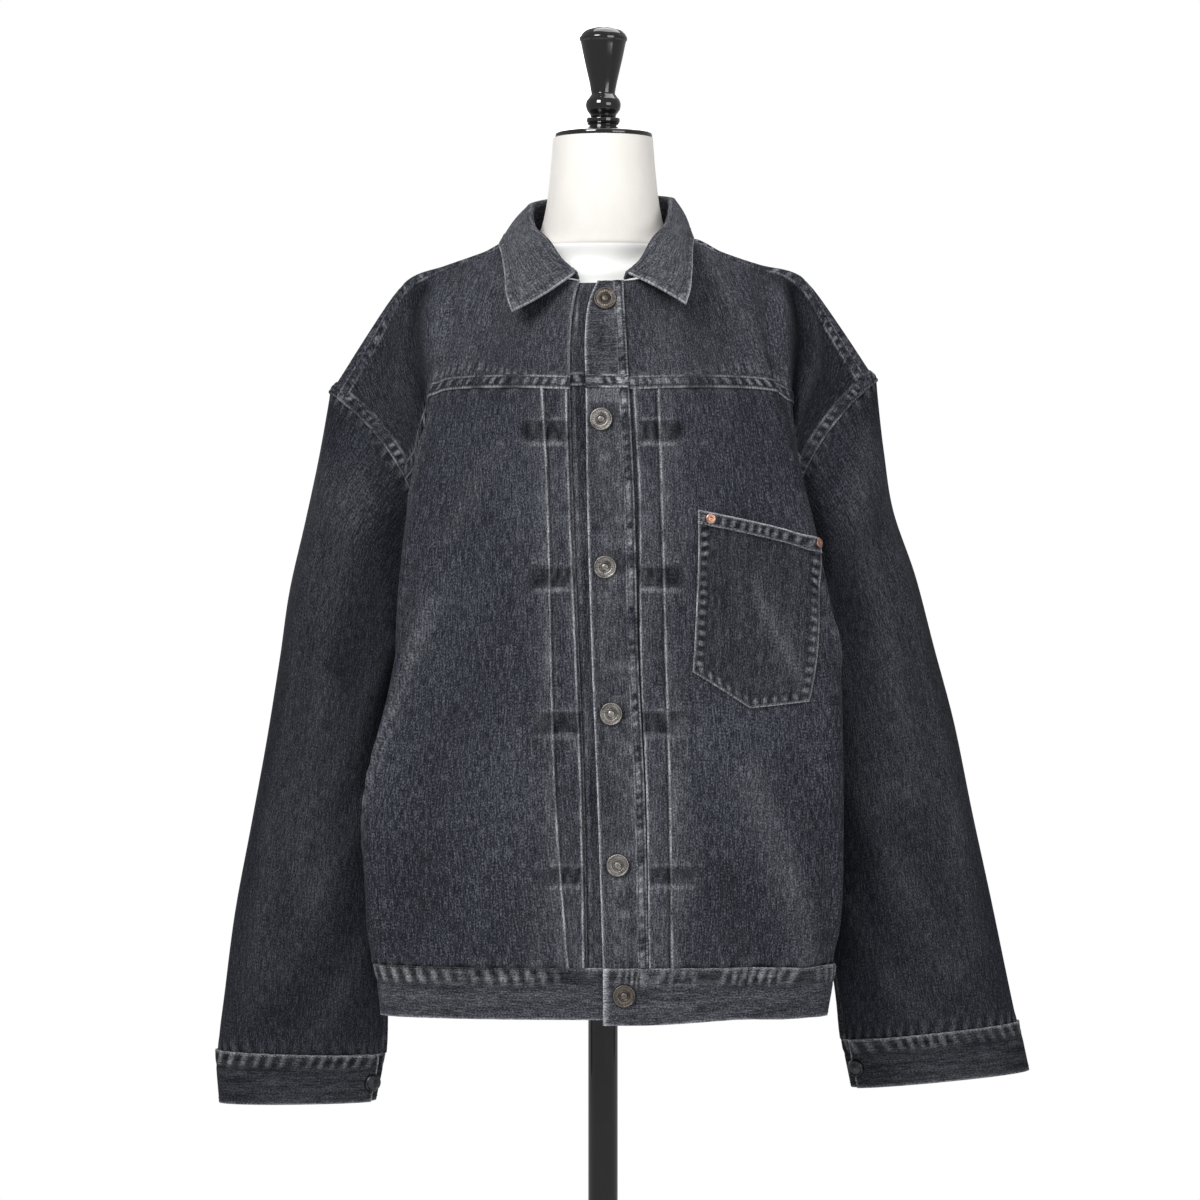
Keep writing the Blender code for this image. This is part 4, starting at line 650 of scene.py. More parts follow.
class Piece:
    """Surfaces gathered into one mesh, with wear, shade and the run of the weave on each point."""

    def __init__(self, name):
        self.name = name
        self.points, self.faces, self.marks = [], [], []
        self.count = 0
        self.cut = np.zeros(3)

    def add(self, points, faces, wear=0.0, shade=0.0, weave=None):
        """Adds points with faces that count from the first of them."""
        points = np.reshape(points, (-1, 3))
        marks = np.zeros((len(points), 4))
        marks[:, 0] = np.ravel(wear)
        marks[:, 1] = np.ravel(shade)
        if weave is not None:
            marks[:, 2:] = weave.reshape(-1, 2)
        self.faces += [group + self.count for group in faces]
        self.points.append(points)
        self.marks.append(marks)
        self.count += len(points)

    def put(self, points, outwards, level, thick, wear, shade, weave):
        """Adds a closed wall, its outer face a grid moved out by its level, to the cloth cut for it."""
        outer = points + outwards * level[..., None]
        at = np.arange(level.size).reshape(level.shape)
        around = np.concatenate([at[0], at[1:, -1], at[-1, -2::-1], at[-2:0:-1, 0]])
        after = np.roll(around, -1)
        rim = np.stack([after, around, around + at.size, after + at.size], axis=1)
        faces = outward_faces(outer, outwards, [quads_of(at), quads_of(at + at.size)[:, ::-1], rim])
        wear = np.broadcast_to(np.clip(wear, 0, 1.3), level.shape)
        shade = np.broadcast_to(np.clip(shade, 0, 1), level.shape)
        edge = np.full(level.shape, 0.7)
        edge[1:-1, 1:-1] = 0
        # The inner face gets a little painted shade all over.
        self.add([outer, outer - outwards * thick], faces, [wear, wear * edge],
                 [shade, np.full(level.shape, 0.15)], np.stack([weave, weave]))
        width = np.linalg.norm(np.diff(points, axis=1), axis=-1).sum(axis=1).max()
        long = np.linalg.norm(np.diff(points, axis=0), axis=-1).sum(axis=0).max()
        crossed = np.cross(points[1:, 1:] - points[:-1, :-1], points[1:, :-1] - points[:-1, 1:])
        self.cut += (0.0, long, np.linalg.norm(crossed, axis=-1).sum() / 2)
        self.cut[0] = max(self.cut[0], width)

    def strip(self, outer, outwards, wear, shade, weave):
        """A raised layer: rows of a grid closed underneath by one face along its length."""
        at = np.arange(outer[..., 0].size).reshape(outer.shape[:2])
        under = np.stack([at[-1, :-1], at[-1, 1:], at[0, 1:], at[0, :-1]], axis=1)
        faces = [quads_of(at), under, at[:, 0][None, :], at[::-1, -1][None, :]]
        self.add(outer, outward_faces(outer, outwards, faces), wear, shade, weave)

    def build(self, surface, *nodes, slot="washed_denim", smooth=50.0):
        """Makes the object, riding on the body in place of the nodes named."""
        marks = np.concatenate(self.marks).astype(np.float32)
        mesh = bpy.data.meshes.new(self.name)
        faces = [face for group in self.faces for face in group.tolist()]
        mesh.from_pydata(np.concatenate(self.points), [], faces)
        mesh.shade_smooth()
        mesh.set_sharp_from_angle(angle=math.radians(smooth))
        for index, label in enumerate(("wear", "shade")):
            mesh.attributes.new(label, "FLOAT", "POINT").data.foreach_set("value", marks[:, index].copy())
        corners = np.zeros(len(mesh.loops), np.int32)
        mesh.loops.foreach_get("vertex_index", corners)
        mesh.uv_layers.new(name="weave").data.foreach_set("uv", marks[corners, 2:].ravel())
        mesh.materials.append(surface)
        made = bpy.data.objects.new(self.name, mesh)
        SCENE.collection.objects.link(made)
        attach(made, "root")
        if nodes:
            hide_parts(*nodes)
        return made

    def sewn(self, surface, node, held, *rests_on):
        """Builds a piece of cloth."""
        made = self.build(surface, node)


def weave_of(points, swap=False):
    """Distances across and along the weave at each point of a grid: along its rows, then its columns."""
    runs = np.broadcast_arrays(lengths(points, 1)[None, :], lengths(points, 0)[:, None])
    return np.stack(runs[::-1] if swap else runs, axis=-1)


def sideways(grids, flip=1):
    """Grids turned so that their first column, or their last one, comes first as a row."""
    return [grid[:, ::flip].transpose(1, 0, 2) for grid in grids]


def reaches(points):
    """Distance along each column of a grid from its first row."""
    steps = np.linalg.norm(np.diff(points, axis=0), axis=-1)
    return np.vstack([steps[:1] * 0, np.cumsum(steps, axis=0)])


def beside(points, outwards, weave, offsets, pitch):
    """A grid of places at distances from a grid's first row, evenly spaced along it."""
    joined = np.concatenate([points, outwards, weave], axis=-1)
    rows = np.stack([np.interp(offsets, line, np.arange(len(line))) for line in reaches(points).T], axis=1)
    edge = reaches(points[0][:, None])[:, 0]
    along = np.linspace(0, edge[-1], max(int(edge[-1] / pitch), 4) + 1)
    columns = np.interp(along, edge, np.arange(len(edge)))
    rows = np.stack([np.interp(columns, np.arange(len(edge)), line) for line in rows])
    found = between(joined, rows, columns[None, :] + 0 * rows)
    return found[..., :3], unit(found[..., 3:6]), found[..., 6:], along


# Stitched bands: distance from the folded edge, height, share of the roping
BAND_PROFILE = ((-0.0016, -0.0010, 0.0), (-0.0014, 0.0008, 0.0), (-0.0006, 0.0017, 0.0),
                (0.0006, 0.0019, 0.1), (0.0018, 0.0013, 0.3), (0.0030, 0.0016, 1.0),
                (0.0042, 0.0018, 1.0), (0.0054, 0.0018, 1.0), (0.0066, 0.0016, 1.0),
                (0.0078, 0.0012, 0.4), (0.0090, 0.0013, 0.1), (0.0100, 0.0008, 0.0),
                (0.0108, -0.0002, 0.0))
BAND_STEP = 0.0012
STITCH_ROWS = (0.0020, 0.0080)
ROPE_PITCH = 0.0086
ROPE_HEIGHT = 0.00055
SEAM_REACH = 0.011


def roping(along, offset, seed, pitch=ROPE_PITCH, slant=0.45):
    """Uneven diagonal ridges of a seam that has shrunk: from -1 to 1."""
    drift = mottle(along / (4 * pitch), seed * 3.7, seed) * 1.6
    size = 0.35 + 0.75 * mottle(along / (2.3 * pitch), seed * 1.3, seed + 1)
    return bent(np.sin(2 * math.pi * (along / pitch + drift + slant * offset / pitch)), 0.7) * size


def ridges(wave, least=0.0):
    """The raised part of a wave."""
    return np.clip(wave - least, 0, 1)


def band(piece, *grids, seed, width=BAND_PROFILE[-1][0], wear=0.8, rope=1.0, stitched=True, dim=0.6):
    """A felled seam along a grid's first row: a raised folded edge, roping and two rows of stitches."""
    profile = np.array(BAND_PROFILE)
    scale = width / profile[-1, 0]
    offsets = profile[:, :1] * scale
    places, ups, run, along = beside(*grids, np.maximum(offsets[:, 0], 0), BAND_STEP)
    backwards = unit(places[:1] - beside(*grids, [0.004], BAND_STEP)[0])
    places = places + backwards * np.maximum(-offsets, 0)[..., None]
    ridge = roping(along[None, :], offsets, seed) * profile[:, 2:3] * rope
    height = profile[:, 1:2] + ROPE_HEIGHT * ridge
    uneven = np.clip(1.9 * mottle(along / 0.009, seed, seed + 7) - 0.30, 0.12, 1.15)
    uneven = uneven * (0.8 + 0.7 * hump(places[..., 0], 0.0, 0.070))
    bright = hump(places[..., 0], 0.010, 0.042) * ridges(2.2 * mottle(along / 0.010, seed, 5), 0.7)
    worn = hump(offsets, -0.0004, 0.0008 * scale) * (0.12 + 0.70 * uneven)
    worn = worn + ridges(ridge, 0.10) * 0.75 * uneven + bright * profile[:, 2:3] * 0.65
    worn = worn + hump(offsets, 0.0092 * scale, 0.0008) * 0.50 * uneven
    # Painted shade: full under the rolled folded edge and a line in the groove of the first stitch row; the
    # roping's hollows are darker cloth.
    dark = ridges(-ridge) * dim + (offsets < -0.0011) + hump(offsets, 0.0020 * scale, 0.0007) * 0.4
    piece.strip(places + ups * height[..., None], ups, worn * wear, dark, run)
    for row in STITCH_ROWS if stitched else ():
        line, ups = beside(*grids, [row * scale], 0.0010)[:2]
        THREAD.row(line[0] + ups[0] * 0.0016, ups[0])


class Thread:
    """All the visible stitches, gathered into one mesh."""

    def __init__(self):
        self.starts, self.ends, self.ups = [], [], []

    def row(self, line, ups, pitch=0.0031, long=0.0024):
        """Stitches one after another along a line."""
        reach = reaches(line[:, None])[:, 0]
        if reach[-1] < pitch:
            return
        places = np.arange(0, reach[-1] - long, pitch)
        both = np.concatenate([line, ups], axis=-1)
        starts, ends, middles = [np.stack([np.interp(at, reach, column) for column in both.T], axis=-1)
                                 for at in (places, places + long, places + long / 2)]
        self.starts.append(starts[:, :3])
        self.ends.append(ends[:, :3])
        self.ups.append(unit(middles[:, 3:]))

    def build(self, name, surface, radius=0.00030):
        """A slim spindle for each stitch."""
        start, end, up = [np.concatenate(group) for group in (self.starts, self.ends, self.ups)]
        aside = unit(np.cross(unit(end - start), up)) * radius
        middle = (start + end) / 2
        ring = [middle + up * radius * 1.3, middle + aside, middle - up * radius, middle - aside]
        points = np.stack([start - up * radius, *ring, end - up * radius], axis=1)
        faces = [(0, 2, 1), (0, 3, 2), (0, 4, 3), (0, 1, 4), (5, 1, 2), (5, 2, 3), (5, 3, 4), (5, 4, 1)]
        faces = np.array(faces)[None] + np.arange(len(start))[:, None, None] * 6
        piece = Piece(name)
        piece.add(points, [faces.reshape(-1, 3)])
        return piece.build(surface, smooth=180.0)


class Recipe:
    """One material's nodes."""

    def __init__(self, name, **sockets):
        self.material = bpy.data.materials.new(name)
        self.material.use_nodes = True
        self.tree = self.material.node_tree
        self.shader = self.tree.nodes["Principled BSDF"]
        for socket, value in sockets.items():
            self.shader.inputs[socket.replace("_", " ")].default_value = value

    def add(self, kind, inputs, **settings):
        """A node with its sockets filled by numbers or by other nodes' outputs."""
        made = self.tree.nodes.new("ShaderNode" + kind)
        for setting, value in settings.items():
            setattr(made, setting, value)
        for socket, value in inputs.items():
            if isinstance(value, bpy.types.NodeSocket):
                self.tree.links.new(value, made.inputs[socket])
            else:
                made.inputs[socket].default_value = value
        return made.outputs

    def weave(self):
        """Place on the cloth's own weave."""
        return self.add("UVMap", {}, uv_map="weave")["UV"]

    def place(self):
        """Place on the object."""
        return self.add("TexCoord", {})["Object"]

    def mark(self, name):
        """Value kept on the mesh's points."""
        return self.add("Attribute", {}, attribute_name=name)["Fac"]

    def noise(self, vector, scale, detail=2.0, turn=0.0):
        """Noise with its own scale in each direction."""
        mapped = self.add("Mapping", {"Vector": vector, "Scale": scale, "Rotation": (0.0, 0.0, turn)})
        return self.add("TexNoise", {"Vector": mapped["Vector"], "Scale": 1.0, "Detail": detail,
                                     "Roughness": 0.55})["Fac"]

    def weighed(self, *pairs):
        """Sum of values, each times its weight."""
        total = 0.0
        for value, weight in pairs:
            total = self.add("Math", {0: value, 1: weight, 2: total}, operation="MULTIPLY_ADD")["Value"]
        return total

    def ramp(self, value, *stops):
        """Colours along a value."""
        made = self.tree.nodes.new("ShaderNodeValToRGB")
        self.tree.links.new(value, made.inputs["Fac"])
        elements = made.color_ramp.elements
        for element, (place, colour) in zip(elements, (stops[0], stops[-1])):
            element.position = place
            element.color = (*colour, 1.0)
        for place, colour in stops[1:-1]:
            elements.new(place).color = (*colour, 1.0)
        return made.outputs["Color"]

    def mix(self, share, first, second):
        """Mixes two colours."""
        return self.add("Mix", {0: share, 6: first, 7: second}, data_type="RGBA")[2]

    def set(self, socket, value):
        """Leads a value to one of the shader's sockets."""
        self.tree.links.new(value, self.shader.inputs[socket])

    def bump(self, height, strength, distance):
        """Roughens the surface by a height."""
        inputs = {"Height": height, "Strength": strength, "Distance": distance}
        self.set("Normal", self.add("Bump", inputs)["Normal"])


def dimmed(colour, share):
    """A colour made darker, as a socket takes it."""
    return (*[part * share for part in colour], 1.0)


def denim(name, dark, middle, light):
    """Washed twill: slubs along the warp, diagonal grain, cloudy wash, worn and shaded places."""
    recipe = Recipe(name, Roughness=0.92, Specular_IOR_Level=0.05, Sheen_Weight=0.01, Sheen_Roughness=0.5)
    weave, place = recipe.weave(), recipe.place()
    slub = recipe.noise(weave, (880.0, 105.0, 1.0))
    broad = recipe.noise(weave, (300.0, 26.0, 1.0))
    twill = recipe.noise(weave, (1700.0, 600.0, 1.0), 1.0, math.radians(63))
    grain = recipe.noise(weave, (900.0, 620.0, 1.0))
    wash = recipe.noise(place, (9.0, 9.0, 6.0), 3.0)
    value = recipe.weighed((slub, 0.30), (broad, 0.08), (grain, 0.38), (twill, 0.12), (wash, 0.12))
    cloth = recipe.ramp(value, (0.38, dark), (0.50, middle), (0.61, light))
    worn, shade = recipe.mark("wear"), recipe.mark("shade")
    frayed = recipe.weighed((grain, 2.4), (slub, 1.4), (broad, 0.6))
    frayed = recipe.add("Math", {0: frayed, 1: 1.55}, operation="SUBTRACT")["Value"]
    worn = recipe.add("Math", {0: worn, 1: frayed}, operation="MULTIPLY", use_clamp=True)["Value"]
    # The shade mark darkens the cloth: painted shade in fold troughs, grooves, recesses, under folded edges
    # and on inner faces, and darker cloth in the roping's hollows.
    cloth = recipe.mix(shade, cloth, dimmed(dark, 0.45))
    recipe.set("Base Color", recipe.mix(worn, cloth, (0.42, 0.43, 0.46, 1.0)))
    recipe.bump(recipe.weighed((slub, 0.5), (twill, 0.4), (grain, 0.5)), 0.55, 0.0006)
    return recipe.material


def form_cotton():
    """Off-white knitted cotton stretched over the form, whiter below its neck seam."""
    recipe = Recipe("form_cotton", Roughness=0.75, Sheen_Weight=0.1, Sheen_Roughness=0.5)
    weave = recipe.weave()
    knit = recipe.noise(weave, (1300.0, 700.0, 1.0), 1.0)
    cloud = recipe.noise(weave, (30.0, 30.0, 1.0))
    shade = recipe.mark("shade")
    tones = recipe.weighed((knit, 0.6), (cloud, 0.4))
    cotton = recipe.ramp(tones, (0.3, (0.72, 0.69, 0.65)), (0.7, (0.81, 0.78, 0.74)))
    cotton = recipe.mix(recipe.mark("wear"), cotton, (0.97, 0.97, 0.955, 1.0))
    recipe.set("Base Color", recipe.mix(shade, cotton, (0.55, 0.53, 0.49, 1.0)))
    recipe.bump(knit, 0.3, 0.0003)
    return recipe.material


def lacquer():
    """Black lacquer with faint handling marks."""
    recipe = Recipe("black_lacquer", Base_Color=(0.006, 0.006, 0.007, 1.0), Coat_Weight=0.6,
                    Coat_Roughness=0.05)
    marks = recipe.noise(recipe.place(), (60.0,) * 3, 3.0)
    recipe.set("Roughness", recipe.ramp(marks, (0.35, (0.07,) * 3), (0.75, (0.17,) * 3)))
    recipe.bump(marks, 0.04, 0.0004)
    return recipe.material


def old_metal(name, dark, light, roughness):
    """Cast metal, dark in its hollows."""
    recipe = Recipe(name, Metallic=1.0, Roughness=roughness)
    place, shade = recipe.place(), recipe.mark("shade")
    grit = recipe.noise(place, (900.0,) * 3, 3.0)
    cloud = recipe.noise(place, (160.0,) * 3)
    metal = recipe.ramp(recipe.weighed((grit, 0.5), (cloud, 0.5)), (0.32, dark), (0.62, light))
    recipe.set("Base Color", recipe.mix(shade, metal, dimmed(dark, 0.3)))
    recipe.bump(grit, 0.35, 0.0002)
    return recipe.material


def plain_noise(name, roughness, scale, detail, low, high):
    """A material whose colour drifts between two tones: twisted thread, or the floor's paint."""
    recipe = Recipe(name, Roughness=roughness)
    drift = recipe.noise(recipe.place(), (scale,) * 3, detail)
    recipe.set("Base Color", recipe.ramp(drift, (0.3, low), (0.7, high)))
    return recipe.material


def yoke_line(side):
    """Height fraction of the yoke seam for each place across."""
    places = np.linspace(0.03, 0.9, 60)
    heights = up_at(side, places, cubic(YOKE_SEAM, places)[..., 0])
    places = np.append(places, 1.0)
    meets = (math.pi - YOKE_SEAM_ANGLE) / (math.pi - SHOULDER_SEAM_ANGLE)
    heights = np.append(heights, meets ** (1 / ARMHOLE_POWER))
    return lambda across: np.interp(across, places, heights)


def front_edge(side, z):
    """Distance of a front's edge from the middle, under its placket."""
    lines = cubic(PLACKET, z)
    return -lines[..., 2] if side < 0 else lines[..., 1] - 0.002


def pleat_level(d):
    """Height of a folded edge at a distance from its line, as a share of the step."""
    return ease(d, -0.0001, 0.0006) * (1 + 0.35 * hump(d, 0.0012, 0.0012))


def fold_wear_and_painted_shade(side, across, up):
    """Wear on the ridges of the body's folds, and painted shade in their troughs."""
    rise = along_folds(CREASES, side, across, up, ACROSS, UPWARDS)
    cloud = 0.5 + mottle(across / 0.02, up / 0.16, 98 + side)
    return ridges(rise / 0.005) * 0.11 * cloud, ridges(-rise / 0.008) * 0.40


def centre_wear(points, x_reach=0.105):
    """The wash is lighter over the placket and the pleats than at the sides."""
    x, z = points[..., 0], points[..., 2]
    streaks = mottle(x / 0.0035, z / 0.055, 21) * 0.6 + mottle(x / 0.011, z / 0.12, 22) * 0.4
    return (1 - ease(np.abs(x - 0.01), 0.03, x_reach)) * 0.16 * ridges(streaks, 0.25)


def seam_ripple(along, reach, seed, depth=0.014, height=0.0006, pitch=0.0098):
    """Puckers of a panel beside a seam: height, wear and shade."""
    ridge = roping(along, reach, seed, pitch, 0.25)
    fade = (1 - ease(reach, 0.0, depth)) ** 1.5
    return ridge * fade * height, ridges(ridge) * fade * 0.30, ridges(-ridge) * fade * 0.45


# Puckers beside a yoke seam: depth, height, pitch
YOKE_PUCKERS = (0.010, 0.0004, ROPE_PITCH)
# Columns of points over a pleat's folded edge
PLEAT_COLUMNS = (-0.0022, -0.0013, -0.0007, -0.0001, 0.0004, 0.0009, 0.0015, 0.0024, 0.0040)


def add_front(side, label):
    """A lower front with two knife pleats, box stitches and puckers at its seams."""
    chart, seam = BODY[side, False], yoke_line(side)
    share = spaced(0, (0.06, 9), (0.94, 150), (1, 9))
    guide = BAND_UP + share * (seam(0.12) - BAND_UP)
    z = chart.read(0.12, guide)[0][..., 2]
    lines, edge = cubic(PLEATS, z), front_edge(side, z)
    inner = np.maximum(lines[:, 0 if side < 0 else 2], edge + PLEAT_GAP)
    outer = lines[:, 1 if side < 0 else 3]
    x = [edge, (edge + inner) / 2 - 0.0011]
    x += [inner + offset for offset in PLEAT_COLUMNS]
    x += [inner + 0.004 + (outer - inner - 0.0062) * t for t in (0.35, 0.7)]
    x += [outer + offset for offset in PLEAT_COLUMNS]
    x = np.maximum.accumulate(np.stack(x, axis=1) + np.arange(len(x)) * 1e-6, axis=1)
    near = across_at(side, x, guide[:, None])
    rest = near[:, -1:] + (1 - near[:, -1:]) * spaced(0.02, (0.95, 46), (0.96, 2), (1, 5))
    across = np.concatenate([near, rest], axis=1)
    up = BAND_UP + share[:, None] * (seam(across) - BAND_UP)
    points, outwards = chart.read(across, up)
    weave = weave_of(points)
    above, x, height = weave[..., 1], np.abs(points[..., 0]), points[..., 2]
    level, shade, wear = np.zeros(x.shape), np.zeros(x.shape), centre_wear(points)
    for line, seed in ((inner, 3), (outer, 4)):
        d = x - line[:, None]
        level += pleat_level(d) * PLEAT_STEP
        uneven = 0.35 + 0.9 * mottle(z / 0.013, seed + side, seed)[:, None]
        wear += hump(d, 0.0010, 0.0008) * uneven * 0.85
        wear += hump(d, 0.0045, 0.0035) * 0.10 * mottle(d / 0.002, z[:, None] / 0.02, seed)
        # Painted shadow along the foot of each folded edge.
        shade += hump(d, -0.0008, 0.0009) * 0.85
    wear += hump(x, edge[:, None] + 0.0006, 0.0007) * (0.3 if side > 0 else 0.10)
    for low, high, right, left in BOXES:
        start, end = sorted(np.abs(right if side < 0 else left))
        inside = ease(height, low - 0.0012, low + 0.0024) * (1 - ease(height, high - 0.0024, high + 0.0012))
        inside *= ease(x, start - 0.001, start + 0.002) * (1 - ease(x, end - 0.003, end + 0.001))
        ridge = roping(x, height - low, int(low * 1000), 0.0082, 0.2)
        level += inside * (ridge * 0.0004 - level * 0.25)
        patchy = 0.5 + 0.8 * mottle(x / 0.006, height / 0.006, int(low * 997))
        shade += inside * (0.55 + 0.35 * ridges(-ridge)) * (0.4 + 0.6 * patchy)
        wear += inside * (ridges(ridge, 0.2) * 0.22 * patchy - wear * 0.6)
        under = hump(height, low - 0.0022, 0.0016) + 0.7 * hump(height, high + 0.0020, 0.0012)
        under *= ease(x, start, start + 0.004) * (1 - ease(x, end - 0.006, end))
        wear += under * 0.50 * mottle(x / 0.005, height / 0.003, 31)
        box_stitches(side, start, end, low, high)
    level *= (1 - ease(across, 0.80, 0.97)) * (1 - (1 - ease(above, 0.0, 0.035)) * ease(across, 0.30, 0.60))
    ripple, light, dark = seam_ripple(weave[..., 0], above, 11 + side)
    level += ripple
    wear += light * 0.4
    # Painted shade towards the side and the armhole, partly less-faded cloth, and a painted shadow line
    # along the foot of the front at the waistband seam.
    shade += dark + 0.50 * ease(across, 0.52, 0.90) + hump(above, 0.0, 0.0014) * 0.8
    below = above[-1] - above
    ripple, light, dark = seam_ripple(weave[..., 0], below, 15 + side, *YOKE_PUCKERS)
    level += ripple
    wear += light * 0.6
    # Painted shadow under the yoke's folded edge.
    shade += dark + hump(below, 0.0, 0.0020) * 0.6
    light, dark = fold_wear_and_painted_shade(side, across, up)
    piece = Piece("cloth_front_" + label)
    piece.put(points, outwards, level, WALL, wear + light, shade + dark, weave)
    high = up[:, -1] > 0.004
    edge = sideways([grid[high] for grid in (points, outwards, weave)], -1)
    band(piece, *edge, seed=41 + side, wear=0.55)
    piece.sewn(DENIM, "front_" + label, "hung", "cloth_yoke_" + label)


def box_stitches(side, start, end, low, high):
    """A rectangle of stitches over the pleats."""
    for z in (low, high):
        points, outwards = front_point(side * np.linspace(start, end, 40), z, WALL + 2 * PLEAT_STEP)
        THREAD.row(points - outwards * 0.0012, outwards)
    THREAD.row(*front_point(side * end, np.linspace(low, high, 8), 2 * PLEAT_STEP + 0.0004))


def add_yoke(side, label):
    """A front yoke, dropped over the shoulder, with its felled seams."""
    chart, seam = BODY[side, False], yoke_line(side)
    share = spaced(0, (0.9, 60), (0.91, 2), (1, 8))[:, None]
    guide = seam(0.08) + share * (1 - seam(0.08))
    z = chart.read(0.08 + 0 * guide, guide)[0][..., 2]
    edge = front_edge(side, np.minimum(z, PLACKET_TOP_Z + 0.001))
    start = across_at(side, edge, guide)
    across = start + (1 - start) * spaced(0, (0.03, 6), (1, 84))
    low = seam(across)
    up = low + (1 - SHOULDER_GAP - low) * share
    points, outwards = chart.read(across, up)
    weave = weave_of(points)
    level = 2 * PLEAT_STEP * ease(across, start, start + 0.1)
    level = level * (1 - ease(across, 0.80, 0.97)) * (1 - ease(up, 0.6, 1.0))
    above = weave[..., 1] - SEAM_REACH
    ripple = seam_ripple(weave[..., 0], np.maximum(above, 0), 15 + side, *YOKE_PUCKERS)
    ripple, light, dark = [part * (above > 0) for part in ripple]
    wear = centre_wear(points, 0.075) * 0.8 + light + 0.03 * (1 - ease(across, 0.5, 0.8))
    # Painted shade towards the shoulder and the armhole, heavier on the wearer's left, partly less-faded
    # cloth.
    shade = dark + (0.30 if side < 0 else 0.46) * ease(across, 0.62, 0.80)
    from_edge = np.abs(points[..., 0]) - np.abs(edge)
    wear += hump(from_edge, 0.0008, 0.0008) * (0.30 if side > 0 else 0.55)
    # Painted shadow at the foot of the yoke's front edge, and under the collar's leaf.
    shade += hump(from_edge, 0.0, 0.0007) * 0.4
    shade += 0.25 * hump(points[..., 2], 1.283, 0.014) * hump(np.abs(points[..., 0]), 0.055, 0.022)
    light, dark = fold_wear_and_painted_shade(side, across, up)
    grids = points + outwards * level[..., None], outwards, weave
    piece = Piece("cloth_yoke_" + label)
    piece.put(grids[0], outwards, ripple, WALL, wear + light * 0.6, shade + dark, weave)
    band(piece, *grids, seed=17 + side, wear=0.95)
    shoulder = np.abs(grids[0][-1, :, 0]) > 0.070
    band(piece, *[grid[::-1, shoulder] for grid in grids], seed=27 + side, width=0.0100, wear=1.0, rope=1.1)
    band(piece, *sideways(grids, -1), seed=29 + side, wear=0.85, rope=1.1)
    piece.sewn(DENIM, "yoke_" + label, "draped", "cotton_form")


def add_back():
    """The back, one piece from side to side."""
    up = BAND_UP + spaced(0, (0.05, 8), (1, 140))[:, None] * (1 - SHOULDER_GAP - BAND_UP)
    across = 1 + 1e-6 + spaced(0, (0.06, 5), (1, 56))[None, :]
    halves = [np.concatenate(BODY[side, True].read(across, up + 0 * across), axis=-1) for side in (-1, 1)]
    joined = np.concatenate([halves[0], halves[1][:, -2::-1]], axis=1)
    points, outwards = joined[..., :3], unit(joined[..., 3:])
    weave = weave_of(points)
    level, wear, shade = seam_ripple(weave[..., 0], weave[..., 1], 51)
    wear += 0.10 * ridges(mottle(points[..., 0] / 0.004, points[..., 2] / 0.06, 52), 0.4)
    piece = Piece("cloth_back")
    piece.put(points, outwards, level, WALL, wear, shade, weave)
    high = (up > 0.004).ravel()
    for flip, seed in ((1, 53), (-1, 55)):
        for rows, more, worn, rope in ((high, 0, 0.55, 1.0), (~high, 9, 0.45, 0.8)):
            grids = sideways([grid[rows] for grid in (points, outwards, weave)], flip)
            band(piece, *grids, seed=seed + more, wear=worn, rope=rope)
    piece.sewn(DENIM, "back_panel", "hung", "cloth_yoke_left", "cloth_yoke_right")


